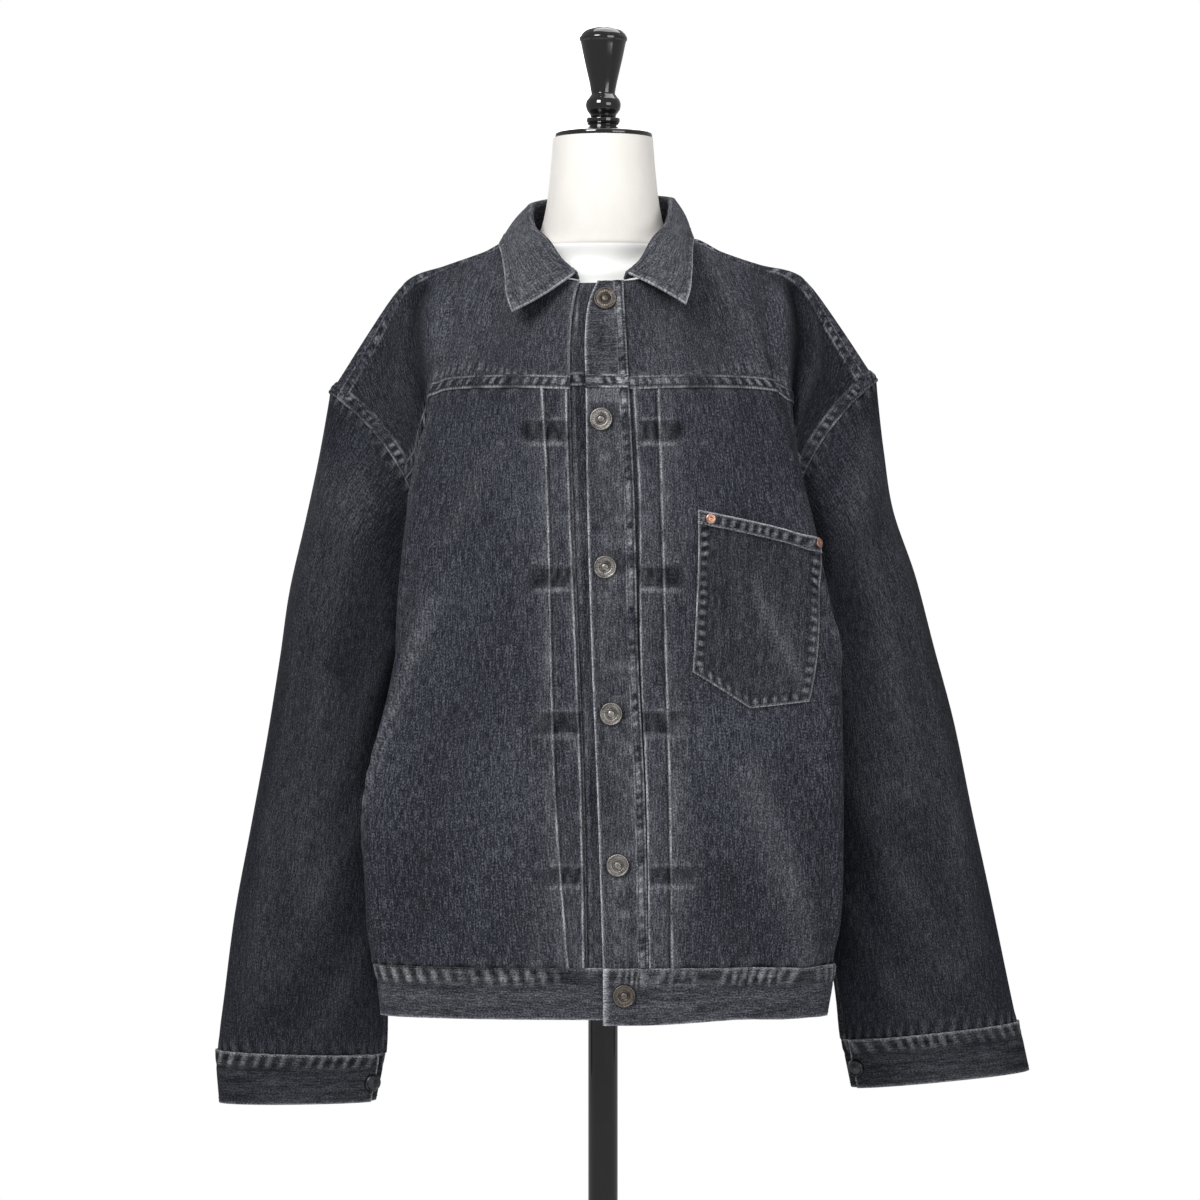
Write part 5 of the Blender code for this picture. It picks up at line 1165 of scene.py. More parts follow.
def add_plackets():
    """The upper placket on the wearer's left front and the under one on the right front."""
    piece = Piece("cloth_placket_left")
    parts = (PLACKET_FOOT_Z, PLACKET_SEAM_Z, 200), (PLACKET_SEAM_Z, PLACKET_TOP_Z, 50)
    for low, high, rows in parts:
        z = np.linspace(low, high, rows)[:, None]
        start = cubic(PLACKET, z)[..., 0]
        run = np.append((0.0, 0.02, 0.05, 0.09, 0.14), np.linspace(0.2, 1.0, 11))
        d = (cubic(PLACKET, z)[..., 1] - 0.0003 - start) * run
        x = start + d
        points, outwards = front_point(x, z + 0 * x)
        weave = weave_of(points, swap=high == PLACKET_TOP_Z)
        level = WALL + PLACKET_RISE - 0.0007 * hump(d, 0.0035, 0.0016)
        level += 0.0006 * roping(z, d, 63, 0.011, 0.2) * (1 - ease(z - BAND_TOP_Z, 0.0, 0.016))
        creases = mottle(x / 0.011 + z / 0.03, z / 0.0065, 68) - 0.5
        level += 0.0011 * creases * ease(d, 0.006, 0.014)
        uneven = 0.55 + 0.6 * mottle(z / 0.012, 3.0, 61)
        wear = centre_wear(points) + hump(d, 0.0, 0.0012) * uneven * 1.1
        wear += ridges(creases) * 0.40 * ease(d, 0.008, 0.016) * mottle(x / 0.004, z / 0.003, 69)
        wear += 0.05 * mottle(x / 0.002, z / 0.03, 64)
        wear += 0.16 * (PLACKET_SEAM_Z - 0.012 < z) * (z < PLACKET_SEAM_Z)
        # Painted shade in the groove near the edge's stitching and in the crease troughs, and a painted
        # shadow line at the seam across the placket.
        shade = 0.35 * hump(d, 0.0036, 0.0009) + 0.5 * ridges(-creases)
        shade += 0.6 * hump(z, PLACKET_SEAM_Z, 0.0016)
        # Painted shadow round each button and over its buttonhole.
        for centre in BUTTONS[:-1]:
            shade += 0.55 * hump(z, centre[2], 0.0075) * hump(x, centre[0] + 0.003, 0.0125)
        piece.put(points, outwards, level, WALL, wear, shade, weave)
        inner = sideways((points + outwards * (WALL + PLACKET_RISE * 0.4), outwards, weave), -1)
        band(piece, *inner, seed=65, width=0.0082, wear=0.60, rope=0.8, dim=0.40)
        THREAD.row(points[:, 4] + outwards[:, 4] * (WALL + PLACKET_RISE), outwards[:, 4])
    band(piece, points + outwards * (WALL + PLACKET_RISE * 0.6), outwards, weave, seed=66, wear=0.9)
    piece.sewn(DENIM, "placket_left", "hung", "cloth_front_left")

    z = np.linspace(PLACKET_FOOT_Z, PLACKET_TOP_Z, 200)[:, None]
    lines = cubic(PLACKET, z)
    start, end = lines[..., 2] - UNDER_TURN, lines[..., 1] - UNDER_LAP
    x = start + (end - start) * np.linspace(0, 1, 16)
    points, outwards = front_point(x, z + 0 * x)
    level = np.full(x.shape, -WALL - 0.0003)
    from_edge = x - lines[..., 2]
    wear = centre_wear(points) + 0.45 * hump(from_edge, 0.0035, 0.0007) * mottle(z / 0.01, 2.0, 67)
    # Painted shade: a little over the whole under placket, which the upper placket laps, and darker at its
    # folded edge and along a line 6 mm in.
    shade = 0.45 * hump(from_edge, 0.0060, 0.0016) + 0.5 * hump(from_edge, 0.0, 0.0010) + 0.06
    weave = weave_of(points)
    piece = Piece("cloth_placket_right")
    piece.put(points, outwards, level, WALL, wear, shade, weave)
    high = z[:, 0] > PLACKET_SEAM_Z
    crossing = [grid[high] for grid in (points + outwards * level[..., None], outwards, weave)]
    band(piece, *crossing, seed=69, wear=0.9, stitched=False)
    piece.sewn(DENIM, "placket_right", "hung", "cloth_front_right")


def edge_stitches(points, outwards, level, from_top, *rows):
    """Rows of stitches along a band, the one at its upper edge in pale thread."""
    for row in rows:
        line = int(np.argmin(np.abs(from_top[:, 0] - row)))
        place = points[line] + outwards[line] * (level[line] + 0.0002)[:, None]
        (PALE_THREAD if row < 0.01 else THREAD).row(place, outwards[line])


# How far the waistband's lapping end hangs lower
LAP_DROP = 0.0042


def add_waistband():
    """The waistband, a strip that laps over itself at the centre front, roped along its upper seam."""
    places = spaced(-0.11, (0.05, 10), (3.95, 520), (3.952, 2), (4.0, 14))
    across = np.where(places < 2, np.abs(places), 4 - places)
    left = (places < 0) | (places > 2)
    heights = spaced(HEM_Z, (HEM_Z + 0.004, 4), (BAND_TOP_Z - 0.0003, 19))[:, None]
    up = (heights - UNDERARM_Z) / (UNDERARM_Z - HEM_Z)
    points, outwards = np.zeros((2, len(heights), len(places), 3))
    for (side, back), chart in BODY.items():
        mine = (left == (side > 0)) & ((across > 1) == back)
        points[:, mine], outwards[:, mine] = chart.read(across[None, mine], up + 0 * across[None, mine])
    outwards[:, (across < 0.004) | (across > 1.996), 0] = 0
    outwards = unit(outwards)
    above = heights - HEM_Z
    points[..., 2] -= LAP_DROP * ease(places, 3.72, 3.96) * (1 - above / above[-1])
    weave = weave_of(points, swap=True)
    along = weave[..., 1]
    from_top = BAND_TOP_Z - heights + 0 * along
    ridge = roping(along * (0.8 + 0.4 * mottle(along / 0.10, 3.0, 75)), from_top, 71, 0.0118, 0.30)
    ridge *= 0.45 + 0.75 * mottle(along / 0.022, 1.0, 76)
    strong = (1 - ease(from_top, 0.009, 0.017)) * (0.6 + 0.4 * ease(from_top, 0.0015, 0.004))
    level = 0.0036 * ease(places, 0.1, 3.9) - 0.0006 + ridge * strong * 0.0009
    level += 0.0003 * roping(along, from_top, 72, 0.017, 0.1) * (1 - strong)
    level -= 0.0005 * hump(from_top, 0.0150, 0.0016) + 0.0006 * hump(from_top, 0.0, 0.0012)
    wear = ridges(ridge, 0.05) * strong * 0.60 + 0.50 * hump(from_top, 0.0, 0.0011)
    wear += 0.55 * hump(above, 0.0, 0.0012) * (0.4 + 0.8 * mottle(along / 0.01, 2.0, 73))
    wear += 0.9 * hump(places, 4.0, 0.004) + 0.14 * mottle(along / 0.03, from_top / 0.0022, 74)
    # Painted shade in the groove by the stitch row 15 mm down; the cloth is also darker in the roping's
    # hollows, in the roped upper part and over the whole band.
    shade = ridges(-ridge) * strong * 0.95 + 0.45 * hump(from_top, 0.0165, 0.0012) + 0.34 * strong + 0.12
    piece = Piece("cloth_waistband")
    piece.put(points, outwards, level, BAND_WALL, wear, shade, weave)
    edge_stitches(points, outwards, level, from_top, 0.0018, 0.0150, 0.0395)
    piece.sewn(DENIM, "waistband", "hung", "cloth_front_left", "cloth_front_right", "cloth_back")


def sleeve_fold_wear_and_painted_shade(side, angle, down):
    """Wear on the ridges of a sleeve's folds, and painted shade in their troughs."""
    rise = along_folds(SLEEVE_FOLDS, side, angle, down, SLEEVE_RADIUS, SLEEVE_RING_STEP)
    cloud = 0.5 + 0.5 * mottle(angle / 0.08, down / 0.9, 97)
    return ridges(rise / 0.004) * 0.07 * cloud, ridges(-rise / 0.005) * 0.35


def add_sleeve(side, label):
    """One sleeve of an upper and an under piece, and its cuff, which laps over itself."""
    chart = SLEEVE[side]
    down = spaced(0.002, (0.25, 8), (8.7, 120), (8.995, 9))[:, None]
    seam = math.radians(-60.0)
    for name, first, last, count, seed in (("under_", -math.pi, seam, 44, 81), ("", seam, math.pi, 92, 85)):
        angle = np.linspace(first, last, count)[None, :]
        points, outwards = chart.read(angle, down + 0 * angle)
        weave = weave_of(points)
        along, above = weave[..., 0], weave[..., 1]
        level, wear, shade = seam_ripple(along, above, seed + side, 0.012, 0.0004)
        ripple, light, dark = seam_ripple(along, above[-1] - above, seed + side + 2, 0.016, 0.0009, 0.0110)
        ridge, trough = sleeve_fold_wear_and_painted_shade(side, angle, down)
        wear += light * 0.5 + ridge
        # Painted shadow line along the armhole seam, and painted shade in the fold troughs.
        shade += dark + 0.6 * hump(above, 0.0, 0.0016) + trough
        piece = Piece("cloth_sleeve_" + name + label)
        piece.put(points, outwards, level + ripple, WALL, wear, shade, weave)
        for flip, more in () if name else ((1, 5), (-1, 6)):
            edge = sideways((points, outwards, weave), flip)
            band(piece, *edge, seed=seed + more, width=0.0095, wear=0.35, rope=0.6)
        piece.sewn(SHADED_SLEEVE_DENIM, "sleeve_" + name + label, "hung", "cloth_yoke_" + label, "cloth_back")

    turns = np.linspace(CUFF_START - CUFF_LAP, CUFF_START + 2 * math.pi, 240)
    rows = spaced(9.0, (9.35, 10), (9.96, 14), (9.98, 2), (9.999, 2))[:, None]
    wrapped = (turns + math.pi) % (2 * math.pi) - math.pi
    points, outwards = chart.read(wrapped[None, :], rows + 0 * turns)
    weave = weave_of(points, swap=True)
    from_top, along = weave[..., 0], weave[..., 1]
    tall = from_top[-1, 0]
    ridge = roping(along, from_top, 91 + side, 0.0098, 0.3) * (0.5 + 0.7 * mottle(along / 0.02, 1.0, 94))
    strong = 1 - ease(from_top, 0.008, 0.014)
    level = CUFF_RISE * ease(turns, CUFF_START, turns[-1]) + 0.0004 + ridge * strong * 0.0008
    level -= 0.0004 * hump(from_top, 0.0125, 0.0015)
    wear = ridges(ridge, 0.1) * strong * 0.40 + 0.45 * hump(from_top, 0.0, 0.0012)
    wear += 0.5 * hump(from_top, tall, 0.0012) + 0.10 * mottle(along / 0.03, from_top / 0.002, 93)
    wear += 0.7 * hump(np.degrees(turns), math.degrees(CUFF_START) + 360, 1.5)
    # Painted shade in the groove by the lower stitch row; the roping's hollows and the whole cuff are
    # darkened too.
    shade = ridges(-ridge) * strong * 0.7 + 0.4 * hump(from_top, 0.0130, 0.0012) + 0.40
    piece = Piece("cloth_cuff_" + label)
    piece.put(points, outwards, level, CUFF_WALL, wear, shade, weave)
    edge_stitches(points, outwards, level, from_top, 0.0018, 0.0125, tall - 0.0045)
    piece.sewn(SHADED_SLEEVE_DENIM, "cuff_" + label, "hung", "cloth_sleeve_" + label)


def collar_section(side, share):
    """Points of the collar's middle from its seam over the roll to its edge."""
    seam, roll, edge = cubic(COLLAR[side], np.array(share)).reshape(3, 3) * (side, 1.0, 1.0)
    upward, outward = unit(roll - seam), unit(edge - roll)
    apart = unit(outward - (outward @ upward) * upward)
    radius = ROLL_RADIUS * (0.25 + 0.75 * ease(share, 0.0, 0.20))
    points = [seam + (roll - seam) * t for t in np.linspace(0, 1, 8)]
    for turn in np.radians((20, 45, 70, 90, 110, 135, 160)):
        points.append(roll + (apart * (1 - math.cos(turn)) + upward * math.sin(turn)) * radius)
    top = roll + apart * 2 * radius
    bow = unit(np.cross(np.cross(outward, upward), outward)) * 0.0022
    bow = bow - np.array([0.0, 0.0, LEAF_SAG[side] * hump(share, 0.0, 0.09)])
    leaf = spaced(0, (0.85, 15), (0.87, 2), (1, 9))
    return points + [top * (1 - t) + edge * t + bow * math.sin(math.pi * t) for t in leaf]


def add_collar():
    """The collar: a stand, its roll, and a leaf with worn, stitched edges."""
    shares = spaced(0, (0.03, 10), (1, 120))
    sections = [(-1, share) for share in shares] + [(1, share) for share in shares[-2::-1]]
    points = np.array([collar_section(*section) for section in sections]).transpose(1, 0, 2)
    outwards = facing(points)
    weave = weave_of(points, swap=True)
    from_edge = reaches(points[::-1])[::-1]
    reach = reaches(points.transpose(1, 0, 2)).T
    from_front = np.minimum(reach, reach[:, -1:] - reach)
    row = np.arange(len(points))[:, None]
    is_leaf = row >= LEAF_ROW
    margin = np.where(is_leaf, np.minimum(from_edge, from_front), from_front)
    along = np.where(from_edge < from_front, reach, from_edge)
    ridge = roping(along, margin, 101, 0.0080, 0.3) * hump(margin, 0.0035, 0.0025)
    uneven = 0.6 + 0.6 * mottle(along / 0.010, 4.0, 102)
    level = COLLAR_WALL / 2 + ridge * 0.00035 - 0.0003 * hump(margin, 0.0065, 0.0010)
    wear = 0.85 * hump(margin, 0.0, 0.0010) * uneven * np.where(is_leaf, 1.0, 0.15)
    wear += ridges(ridge, 0.15) * 0.35 + 0.06
    wear += 0.10 * mottle(reach / 0.004, from_edge / 0.02, 103) * is_leaf
    wear += 0.25 * hump(row, 12, 1.5) * mottle(reach / 0.006, 1.0, 104)
    # Painted shade in the groove along the stitching; the roping's hollows are darker cloth.
    shade = ridges(-ridge) * 0.5 + 0.30 * hump(margin, 0.0066, 0.0009)
    piece = Piece("cloth_collar")
    piece.put(points, outwards, level, COLLAR_WALL, wear, shade, weave)
    inset = 0.0066
    joined = np.concatenate([points + outwards * 0.0012, outwards], axis=-1)
    columns = np.arange(points.shape[1])
    leaf_rows = np.arange(LEAF_ROW, len(points))
    rows = np.array([np.interp(-inset, -from_edge[LEAF_ROW:, c], leaf_rows) for c in columns])
    keep = from_front[-1] > inset
    lines = [between(joined, rows[keep], columns[keep].astype(float))]
    for near in (reach, (reach[:, -1:] - reach)[:, ::-1]):
        cross = np.array([np.interp(inset, near[row, :60], np.arange(60.0)) for row in leaf_rows])
        cross = cross if near is reach else len(columns) - 1 - cross
        far = from_edge[leaf_rows, np.round(cross).astype(int)] > inset
        lines.append(between(joined, leaf_rows[far].astype(float), cross[far]))
    for line in lines:
        THREAD.row(line[:, :3], line[:, 3:])
    piece.sewn(DENIM, "collar", "folded", "cloth_yoke_left", "cloth_yoke_right")


def add_pocket():
    """The patch pocket with its pointed foot, and its turned hem."""
    share = spaced(0, (0.06, 6), (0.94, 60), (1, 6))
    foot = np.interp(share, [0, POCKET_TIP, 1], POCKET_FOOT_Z)
    top = np.interp(share, [0, 1], POCKET_TOP_Z)
    hem = top - POCKET_HEM

    def grid(low, high, rows):
        z = high * (1 - rows[:, None]) + low * rows[:, None]
        depth = (top - z) / (top - foot)
        left, right = [edge[0] + (edge[1] - edge[0]) * depth for edge in (POCKET_LEFT, POCKET_RIGHT)]
        across = left + (right - left) * share
        return BODY[1, False].read(across, up_at(1, across, z))

    points, outwards = grid(foot, hem - 0.0003, spaced(0, (0.94, 70), (0.95, 2), (1, 6)))
    weave = weave_of(points)
    left, down = weave[..., 0], weave[..., 1]
    right = left[:, -1:] - left
    low = np.linalg.norm(points - points[-1:], axis=-1)
    nearest = np.minimum(left, right)
    margin = np.minimum(nearest, low)
    along = np.where(low < nearest, left, down)
    ridge = roping(along, margin, 111, 0.0088, 0.3) * hump(margin, 0.0052, 0.0030)
    uneven = 0.5 + 0.8 * mottle(along / 0.011, 2.0, 112)
    crease = hump(left * 0.853 + low * 0.521, 0.0911, 0.006)
    crease *= ease(left, 0.040, 0.055) * ease(right, 0.003, 0.012)
    level = WALL + 0.0010 * ease(margin, 0.0, 0.0012) - 0.0005 * hump(margin, 0.0085, 0.0016)
    level += ridge * 0.0006 + 0.0012 * (crease + hump(left, 0.045, 0.028) * hump(low, 0.07, 0.05))
    wear = 0.95 * hump(margin, 0.0, 0.0011) * uneven + ridges(ridge, 0.1) * 0.55 + crease * 0.10
    wear += 0.06 * mottle(left / 0.003, down / 0.03, 113)
    # Painted shade in the grooves along both stitch rows and a painted shadow under the hem; the roping's
    # hollows and the whole pocket are darkened too.
    shade = ridges(-ridge) * 0.7 + 0.35 * hump(margin, 0.0022, 0.0008) + 0.35 * hump(margin, 0.0090, 0.0010)
    shade += 0.5 * hump(down, 0.0, 0.0022) + 0.32
    piece = Piece("cloth_pocket")
    base = points + outwards * POCKET_LIFT
    piece.put(base, outwards, level, WALL + 0.0008, wear, shade, weave)
    piece.sewn(DENIM, "pocket", "hung", "cloth_front_left")
    places = base + outwards * (WALL + 0.0011)
    for inset in (0.0020, 0.0088):
        first, last = np.argmin(np.abs(left[0] - inset)), np.argmin(np.abs(right[0] - inset))
        bottom = np.argmin(np.abs(low - inset), axis=0)
        for column in (first, last):
            THREAD.row(places[:bottom[column], column], outwards[:bottom[column], column])
        run = np.arange(first, last + 1)
        THREAD.row(places[bottom[run], run], outwards[bottom[run], run])

    points, outwards = grid(hem, top, np.linspace(0, 1, 14))
    weave = weave_of(points, swap=True)
    from_top, along = weave[..., 0], weave[..., 1]
    tall = from_top[-1, 0]
    ridge = roping(along, from_top, 115, 0.0085, 0.3) * hump(from_top, tall / 2, tall * 0.33)
    level = 1.6 * WALL + ridge * 0.0006 - 0.0004 * hump(from_top, tall * 0.82, 0.0012)
    wear = 1.1 * hump(from_top, 0.0, 0.0012) + 0.4 * hump(from_top, tall * 0.9, 0.0008)
    wear += ridges(ridge, 0.1) * 0.5 + 0.8 * hump(np.minimum(along, along[:, -1:] - along), 0.0, 0.0010)
    piece = Piece("cloth_pocket_hem")
    base = points + outwards * POCKET_LIFT
    piece.put(base, outwards, level, 1.6 * WALL, wear, ridges(-ridge) * 0.7, weave)
    piece.sewn(DENIM, "pocket_hem", "folded", "cloth_pocket")
    for row in (2, 11):
        THREAD.row(base[row] + outwards[row] * 0.0029, outwards[row])


def disc(name, node, centre, towards, radius, height, rings, steps, surface, shade=None,
         slot="antique_metal"):
    """A round face over a short wall: height and shade are read at a share of the radius and a turn."""
    first = unit(np.cross(towards, (0.0, 0.0, 1.0)))
    second = np.cross(towards, first)
    share = np.append(np.linspace(1.0 / rings, 1.0, rings), 1.0)[:, None]
    turn = np.arange(steps)[None, :] * 2 * math.pi / steps
    rise = height(share, turn) + 0 * turn
    rise[-1] = 0.0
    around = np.cos(turn)[..., None] * first + np.sin(turn)[..., None] * second
    points = centre + around * share[..., None] * radius + towards * rise[..., None]
    tip = centre + towards * height(np.zeros(1), np.zeros(1))[0]
    ring = closed_rings(rings + 1, steps)
    fan = np.stack([np.full(steps, rise.size), ring[0, :-1], ring[0, 1:]], axis=1)
    marks = np.append(shade(share, turn) + 0 * turn, 0.0) if shade else 0.0
    faces = [quads_of(ring)[:, ::-1], fan, ring[-1, :-1][None, :]]
    piece = Piece(name)
    piece.add(np.vstack([points.reshape(-1, 3), tip]), faces, 0.0, marks)
    piece.build(surface, node, slot=slot, smooth=60.0)


def front_button(share, turn):
    """Height of a cast button: a low dome, a ring, radial marks and a beaded rim."""
    rise = 0.0022 + 0.0006 * np.sqrt(ridges(1 - (share / 0.27) ** 2)) - 0.0003 * hump(share, 0.31, 0.025)
    rise = rise + 0.0005 * hump(share, 0.40, 0.035) - 0.0003 * hump(share, 0.49, 0.03)
    marks = 0.5 + 0.5 * np.cos(turn * 20)
    rise = rise + 0.00012 * marks * ease(share, 0.53, 0.56) * (1 - ease(share, 0.72, 0.75))
    beads = 0.85 + 0.15 * np.abs(np.cos(turn * 17))
    return rise + 0.0007 * beads * hump(share, 0.88, 0.060) - 0.0011 * ease(share, 0.95, 1.0)


def front_button_shade(share, turn):
    """Tarnish in a cast button's hollows."""
    hollow = hump(share, 0.31, 0.030) + hump(share, 0.49, 0.035) + 0.9 * hump(share, 0.79, 0.030)
    gaps = (0.5 - 0.5 * np.cos(turn * 20)) * ease(share, 0.53, 0.56) * (1 - ease(share, 0.72, 0.75))
    return np.clip(0.8 * hollow + 0.22 * gaps + 0.4 * ease(share, 0.95, 1.0), 0, 1)


def cuff_button(share, turn):
    """Height of a plain button with a low rim."""
    rise = 0.0022 + 0.0008 * hump(share, 0.86, 0.08) + 0.0007 * hump(share, 0.0, 0.35)
    return rise - 0.0012 * ease(share, 0.94, 1.0) + 0 * turn


def rivet(share, turn):
    """Height of a domed rivet with a dimple."""
    return 0.0014 - 0.0007 * share**2 - 0.0006 * (hump(share, 0.0, 0.28) + ease(share, 0.8, 1.0)) + 0 * turn


def add_buttons():
    """Front buttons with their buttonholes, cuff buttons and rivets."""
    for index, centre in enumerate(BUTTONS, 1):
        x, z = centre[0], centre[2]
        aside = front_point(x + 0.006, z)[0] - front_point(x - 0.006, z)[0]
        above = front_point(x, z + 0.006)[0] - front_point(x, z - 0.006)[0]
        towards = unit(np.cross(aside, above))
        disc(f"cast_button_{index}", f"button_{index}", centre - towards * 0.0017, towards, BUTTON_RADIUS,
             front_button, 30, 102, BRONZE if index in (1, 6) else SILVER, front_button_shade)
        buttonhole(x, z, WALL + PLACKET_RISE + (0.0010 if index == 6 else 0.0004))
    for side, label in SIDES:
        centre = np.mean(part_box("cuff_button_" + label), axis=0)
        towards = SLEEVE[side].read(CUFF_START - math.radians(4.0), SLEEVE_LAST - 0.42)[1]
        disc("cast_cuff_button_" + label, "cuff_button_" + label, centre - towards * 0.0016, towards,
             CUFF_BUTTON_RADIUS, cuff_button, 16, 72, BLACKENED)
    for index, inwards in ((1, 0.0), (2, 0.0040)):
        centre = np.mean(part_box(f"rivet_{index}"), axis=0)
        across = across_at(1, centre[0] - inwards, up_at(1, 0.3, centre[2]))
        place, outwards = BODY[1, False].read(across, up_at(1, across, centre[2]))
        towards = unit(outwards + np.array([0.0, -0.4, 0.0]))
        place = place + outwards * (POCKET_LIFT + 1.6 * WALL) - towards * 0.0004
        disc(f"copper_rivet_{index}", f"rivet_{index}", place, towards, RIVET_RADIUS, rivet, 12, 48, COPPER,
             slot="copper")


def buttonhole(x, z, lift):
    """A loop of close stitches round a slit that runs out from under a button."""
    turn = np.linspace(0, 2 * math.pi, 66)[:-1]
    cosine, sine = np.cos(turn), np.sin(turn)
    half, wide, long = 0.0098, 0.0009, 0.0020
    x = x + 0.0085 + (half - wide) * np.tanh(2.2 * cosine) / np.tanh(2.2) + wide * cosine
    inner, up = front_point(x, z + wide * bent(sine, 0.4), lift)
    outer = front_point(x + 0.0018 * bent(cosine, 6), z + (wide + long) * bent(sine, 0.4), lift)[0]
    THREAD.starts.append(inner)
    THREAD.ends.append(outer)
    THREAD.ups.append(up)


def lathe(name, node, z, profile, cuts=2, steps=96):
    """A turned body in black lacquer with its corners rounded."""
    line = np.array(profile, float)
    for _ in range(cuts):
        inner = np.stack([line[:-1] * 0.80 + line[1:] * 0.20, line[:-1] * 0.20 + line[1:] * 0.80], axis=1)
        line = np.vstack([line[:1], inner.reshape(-1, 2)[1:-1], line[-1:]])
    turn = np.arange(steps) * 2 * math.pi / steps
    radius, height = line[1:-1, :1], line[1:-1, 1:]
    points = np.stack([radius * np.cos(turn), radius * np.sin(turn), height + 0 * turn], axis=-1)
    ring = closed_rings(len(radius), steps)
    end = np.full(steps, ring[-1, -2] + 1)
    top = np.stack([ring[0, :-1], ring[0, 1:], end], axis=1)
    foot = np.stack([ring[-1, 1:], ring[-1, :-1], end + 1], axis=1)
    ends = [(0, 0, line[0, 1]), (0, 0, line[-1, 1])]
    piece = Piece(name)
    piece.add(np.vstack([points.reshape(-1, 3), ends]) + (0, 0, z), [quads_of(ring)[:, ::-1], top, foot])
    piece.build(LACQUER, node, slot="black_lacquer", smooth=40.0)


def add_form():
    """The form's torso and neck, one smooth shape with a faint seam round the neck."""
    rows = np.column_stack([np.arange(len(FORM_RINGS)), np.array(FORM_RINGS)])
    at = np.unique(np.append(np.linspace(0, len(FORM_RINGS) - 1, 110), np.linspace(13.4, 15.0, 30)))
    front_z, side_z, width, depth, centre_y = cubic(rows, at).T[..., None]
    turn = np.linspace(0, 2 * math.pi, 97)[None, :-1]
    share = 2.0 / FORM_SQUARENESS
    share = share + (1 - share) * ease(width, 0.066, 0.056)
    sine, cosine = bent(np.sin(turn), share), bent(np.cos(turn), share)
    z = front_z + (side_z - front_z) * np.sin(turn) ** 2
    points = np.stack([width * sine, centre_y - depth * cosine, z], axis=-1)
    fuller = hump(z, 1.309, 0.018) * hump(points[..., 0], 0, 0.055) * ridges(2 * cosine)
    points[..., 1] -= 0.0205 * fuller
    seam = hump(z, FORM_SEAM_Z, 0.0006)
    points[..., :2] *= 1 - 0.004 * seam[..., None]
    ring = closed_rings(*z.shape)
    faces = [quads_of(ring), ring[0, :-1][None, ::-1], ring[-1, :-1][None, :]]
    piece = Piece("cotton_form")
    weave = np.stack([turn * 0.11 + 0 * z, z], axis=-1)
    piece.add(points, faces, ease(FORM_SEAM_Z - z, -0.001, 0.001), seam * 0.5, weave)
    piece.build(COTTON, "form_torso", slot="form_cloth")


# Finial: radius, distance down from its top
FINIAL = (
    (0.0, 0.0), (0.0060, 0.0002), (0.0110, 0.0012), (0.0160, 0.0033), (0.0188, 0.0062), (0.0196, 0.0078),
    (0.0204, 0.0092), (0.0203, 0.0116), (0.0194, 0.0122), (0.0182, 0.0180), (0.0163, 0.0270),
    (0.0140, 0.0370), (0.0118, 0.0460), (0.0102, 0.0545), (0.0101, 0.0562), (0.0118, 0.0585),
    (0.0142, 0.0615), (0.0151, 0.0655), (0.0140, 0.0700), (0.0110, 0.0735),
)
CAP_Z = 1.4270
FINIAL_Z = CAP_Z + 0.0166
TOP_Z = 1.5200


def add_stand():
    """Cap, finial, pole and base in black lacquer."""
    lathe("turned_cap", "neck_cap", CAP_Z, (
        (0.0, 0.0163), (0.0138, 0.0163), (0.0141, 0.0160), (0.0141, 0.0130), (0.0125, 0.0122),
        (0.0200, 0.0098), (0.0300, 0.0064), (0.0385, 0.0044), (0.0412, 0.0034), (0.0414, 0.0006),
        (0.0408, 0.0), (0.0, 0.0),
    ))
    foot = (0.0105, TOP_Z - FINIAL_Z), (0.0, TOP_Z - FINIAL_Z)
    lathe("turned_finial", "finial", TOP_Z, [(radius, -down) for radius, down in FINIAL + foot])
    lathe("turned_pole", "pole", 0, (
        (0.0, 0.7497), (0.0120, 0.7497), (0.0124, 0.7490), (0.0124, 0.4), (0.0124, 0.0350),
        (0.0120, 0.0343), (0.0, 0.0343),
    ), cuts=1)
    lathe("turned_base", "base", 0, (
        (0.0, 0.034), (0.0165, 0.034), (0.0186, 0.0330), (0.0190, 0.0300), (0.0190, 0.0185),
        (0.0205, 0.0140), (0.0260, 0.0124), (0.0800, 0.0110), (0.1380, 0.0095), (0.1472, 0.0080),
        (0.1500, 0.0045), (0.1500, 0.0012), (0.1490, 0.0), (0.0, 0.0),
    ), steps=128)


# Soft square lights: place, size, power
LIGHTS = {
    "key": ((-1.3, -2.3, 2.7), 1.1, 78.0),
    "fill": ((1.8, -2.4, 1.5), 1.6, 32.0),
    "top": ((0.3, 0.5, 3.0), 1.6, 24.0),
    "back": ((-0.6, 2.6, 1.9), 1.8, 34.0),
}
LIT_POINT = (0.0, 0.0, 1.05)
FLOOR_RADIUS = 2.3
WHITE = (1.0, 1.0, 1.0, 1.0)


def stand_aimed(name, data, place, target):
    """Puts a light or the camera at a place, aimed at a point."""
    made = bpy.data.objects.new(name, data)
    made.location = place
    made.rotation_euler = (Vector(target) - Vector(place)).to_track_quat("-Z", "Y").to_euler()
    SCENE.collection.objects.link(made)
    return made


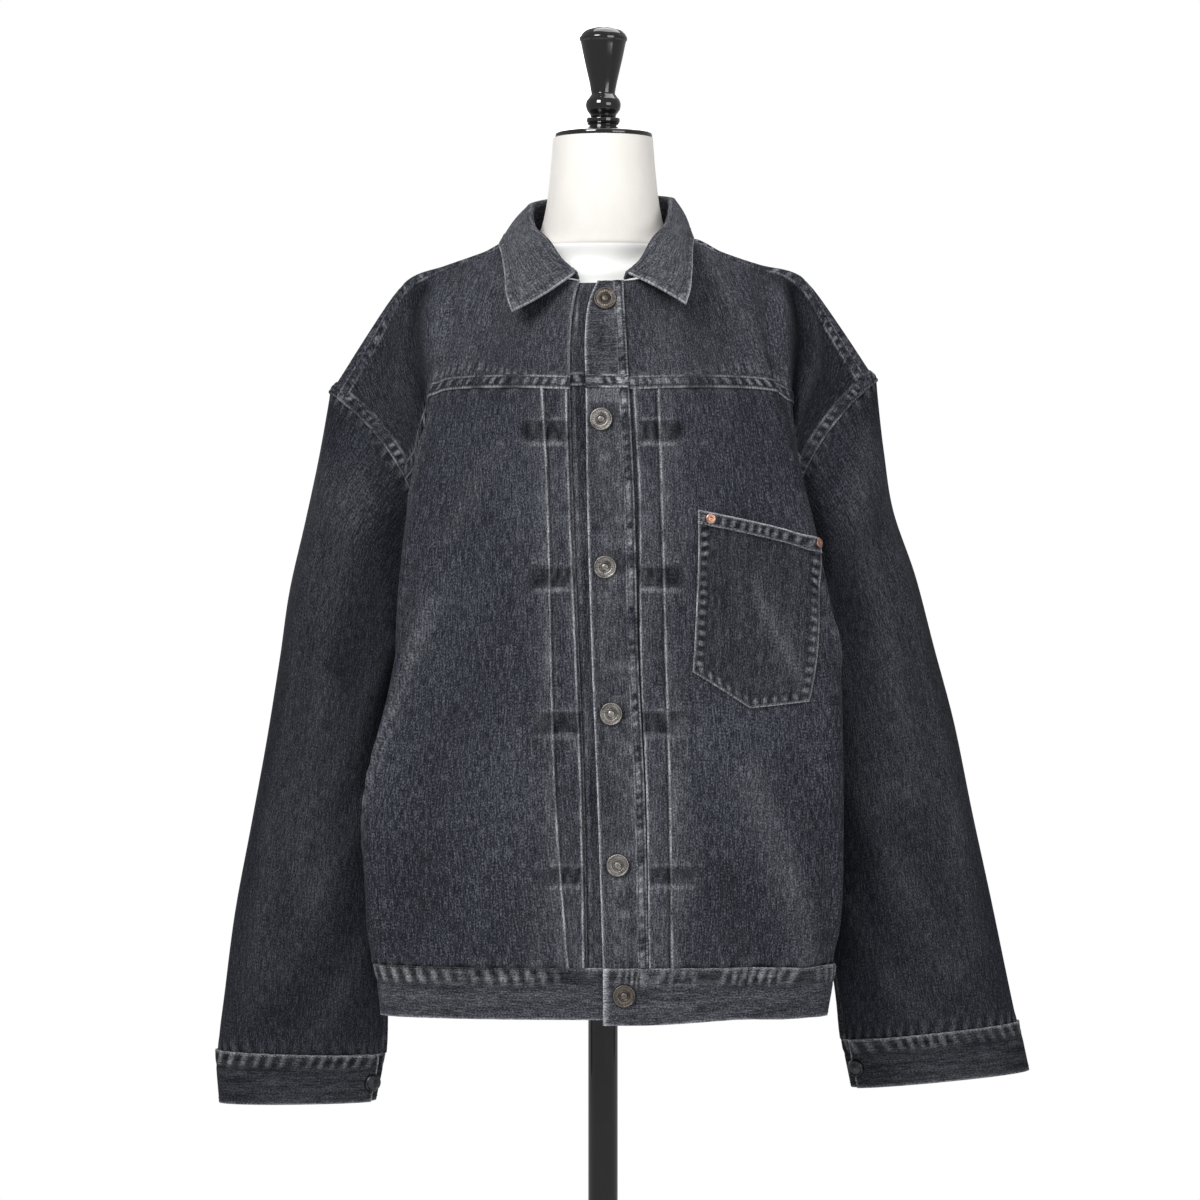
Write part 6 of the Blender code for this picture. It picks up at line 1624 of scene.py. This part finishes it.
def add_studio():
    """Floor, lights, white surroundings and the camera."""
    turns = np.linspace(0, 2 * math.pi, 97)[:-1]
    points = [(FLOOR_RADIUS * math.cos(turn), FLOOR_RADIUS * math.sin(turn), -0.0005) for turn in turns]
    mesh = bpy.data.meshes.new("floor")
    mesh.from_pydata(points, [], [list(range(len(points)))])
    mesh.materials.append(plain_noise("floor_paint", 0.6, 3.0, 2.0, (0.80,) * 3, (0.84,) * 3))
    floor = bpy.data.objects.new("floor", mesh)
    SCENE.collection.objects.link(floor)

    world = bpy.data.worlds.new("studio")
    SCENE.world = world
    world.use_nodes = True
    tree = world.node_tree
    background = tree.nodes["Background"]
    background.inputs["Color"].default_value = WHITE
    background.inputs["Strength"].default_value = 0.36
    seen = tree.nodes.new("ShaderNodeBackground")
    seen.inputs["Color"].default_value = WHITE
    mix = tree.nodes.new("ShaderNodeMixShader")
    path = tree.nodes.new("ShaderNodeLightPath")
    tree.links.new(path.outputs["Is Camera Ray"], mix.inputs["Fac"])
    tree.links.new(background.outputs["Background"], mix.inputs[1])
    tree.links.new(seen.outputs["Background"], mix.inputs[2])
    tree.links.new(mix.outputs["Shader"], tree.nodes["World Output"].inputs["Surface"])

    for name, (place, size, power) in LIGHTS.items():
        light = bpy.data.lights.new(name, "AREA")
        light.size = size
        light.energy = power
        stand_aimed(name, light, place, LIT_POINT)
    lens = bpy.data.cameras.new("camera")
    lens.sensor_width = SENSOR_MM
    lens.lens = SENSOR_MM * CAMERA_AWAY / SEEN_WIDTH
    lens.dof.use_dof = False
    SCENE.camera = stand_aimed("camera", lens, (0.0, -CAMERA_AWAY, CAMERA_Z), AIM)
    SCENE.view_settings.view_transform = "Standard"


SIDES = (-1, "right"), (1, "left")
BODY = {(side, back): body_chart(side, back) for side in (-1, 1) for back in (False, True)}
SLEEVE = {side: sleeve_chart(side) for side in (-1, 1)}
BUTTONS = [np.mean(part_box(f"button_{index}"), axis=0) for index in range(1, 7)]
THREAD, PALE_THREAD = Thread(), Thread()

DENIM = denim("washed_denim_body",
              (0.0048, 0.0053, 0.0072), (0.0222, 0.0236, 0.0310), (0.100, 0.105, 0.124))
# The sleeves' denim is the body's made darker all over: painted shade.
SHADED_SLEEVE_DENIM = denim("washed_denim_sleeves_shaded",
                     (0.0038, 0.0044, 0.0060), (0.0140, 0.0155, 0.0206), (0.054, 0.058, 0.070))
COTTON, LACQUER = form_cotton(), lacquer()
SILVER = old_metal("antique_silver", (0.09, 0.085, 0.08), (0.36, 0.34, 0.32), 0.42)
BRONZE = old_metal("antique_bronze", (0.045, 0.040, 0.036), (0.19, 0.165, 0.145), 0.46)
BLACKENED = old_metal("blackened_metal", (0.015, 0.015, 0.017), (0.07, 0.07, 0.075), 0.40)
COPPER = old_metal("worn_copper", (0.24, 0.13, 0.09), (0.62, 0.36, 0.27), 0.38)

add_studio()
add_form()
add_stand()
add_back()
for side, label in SIDES:
    add_front(side, label)
    add_yoke(side, label)
    add_sleeve(side, label)
add_plackets()
add_waistband()
add_collar()
add_pocket()
add_buttons()
for thread, name, colour, tones in (
    (THREAD, "stitching", "dark_thread", ((0.012, 0.012, 0.016), (0.050, 0.052, 0.062))),
    (PALE_THREAD, "pale_stitching", "pale_thread", ((0.12, 0.12, 0.13), (0.30, 0.30, 0.32))),
):
    thread.build(name, plain_noise(colour, 0.75, 1200.0, 1.0, *tones))
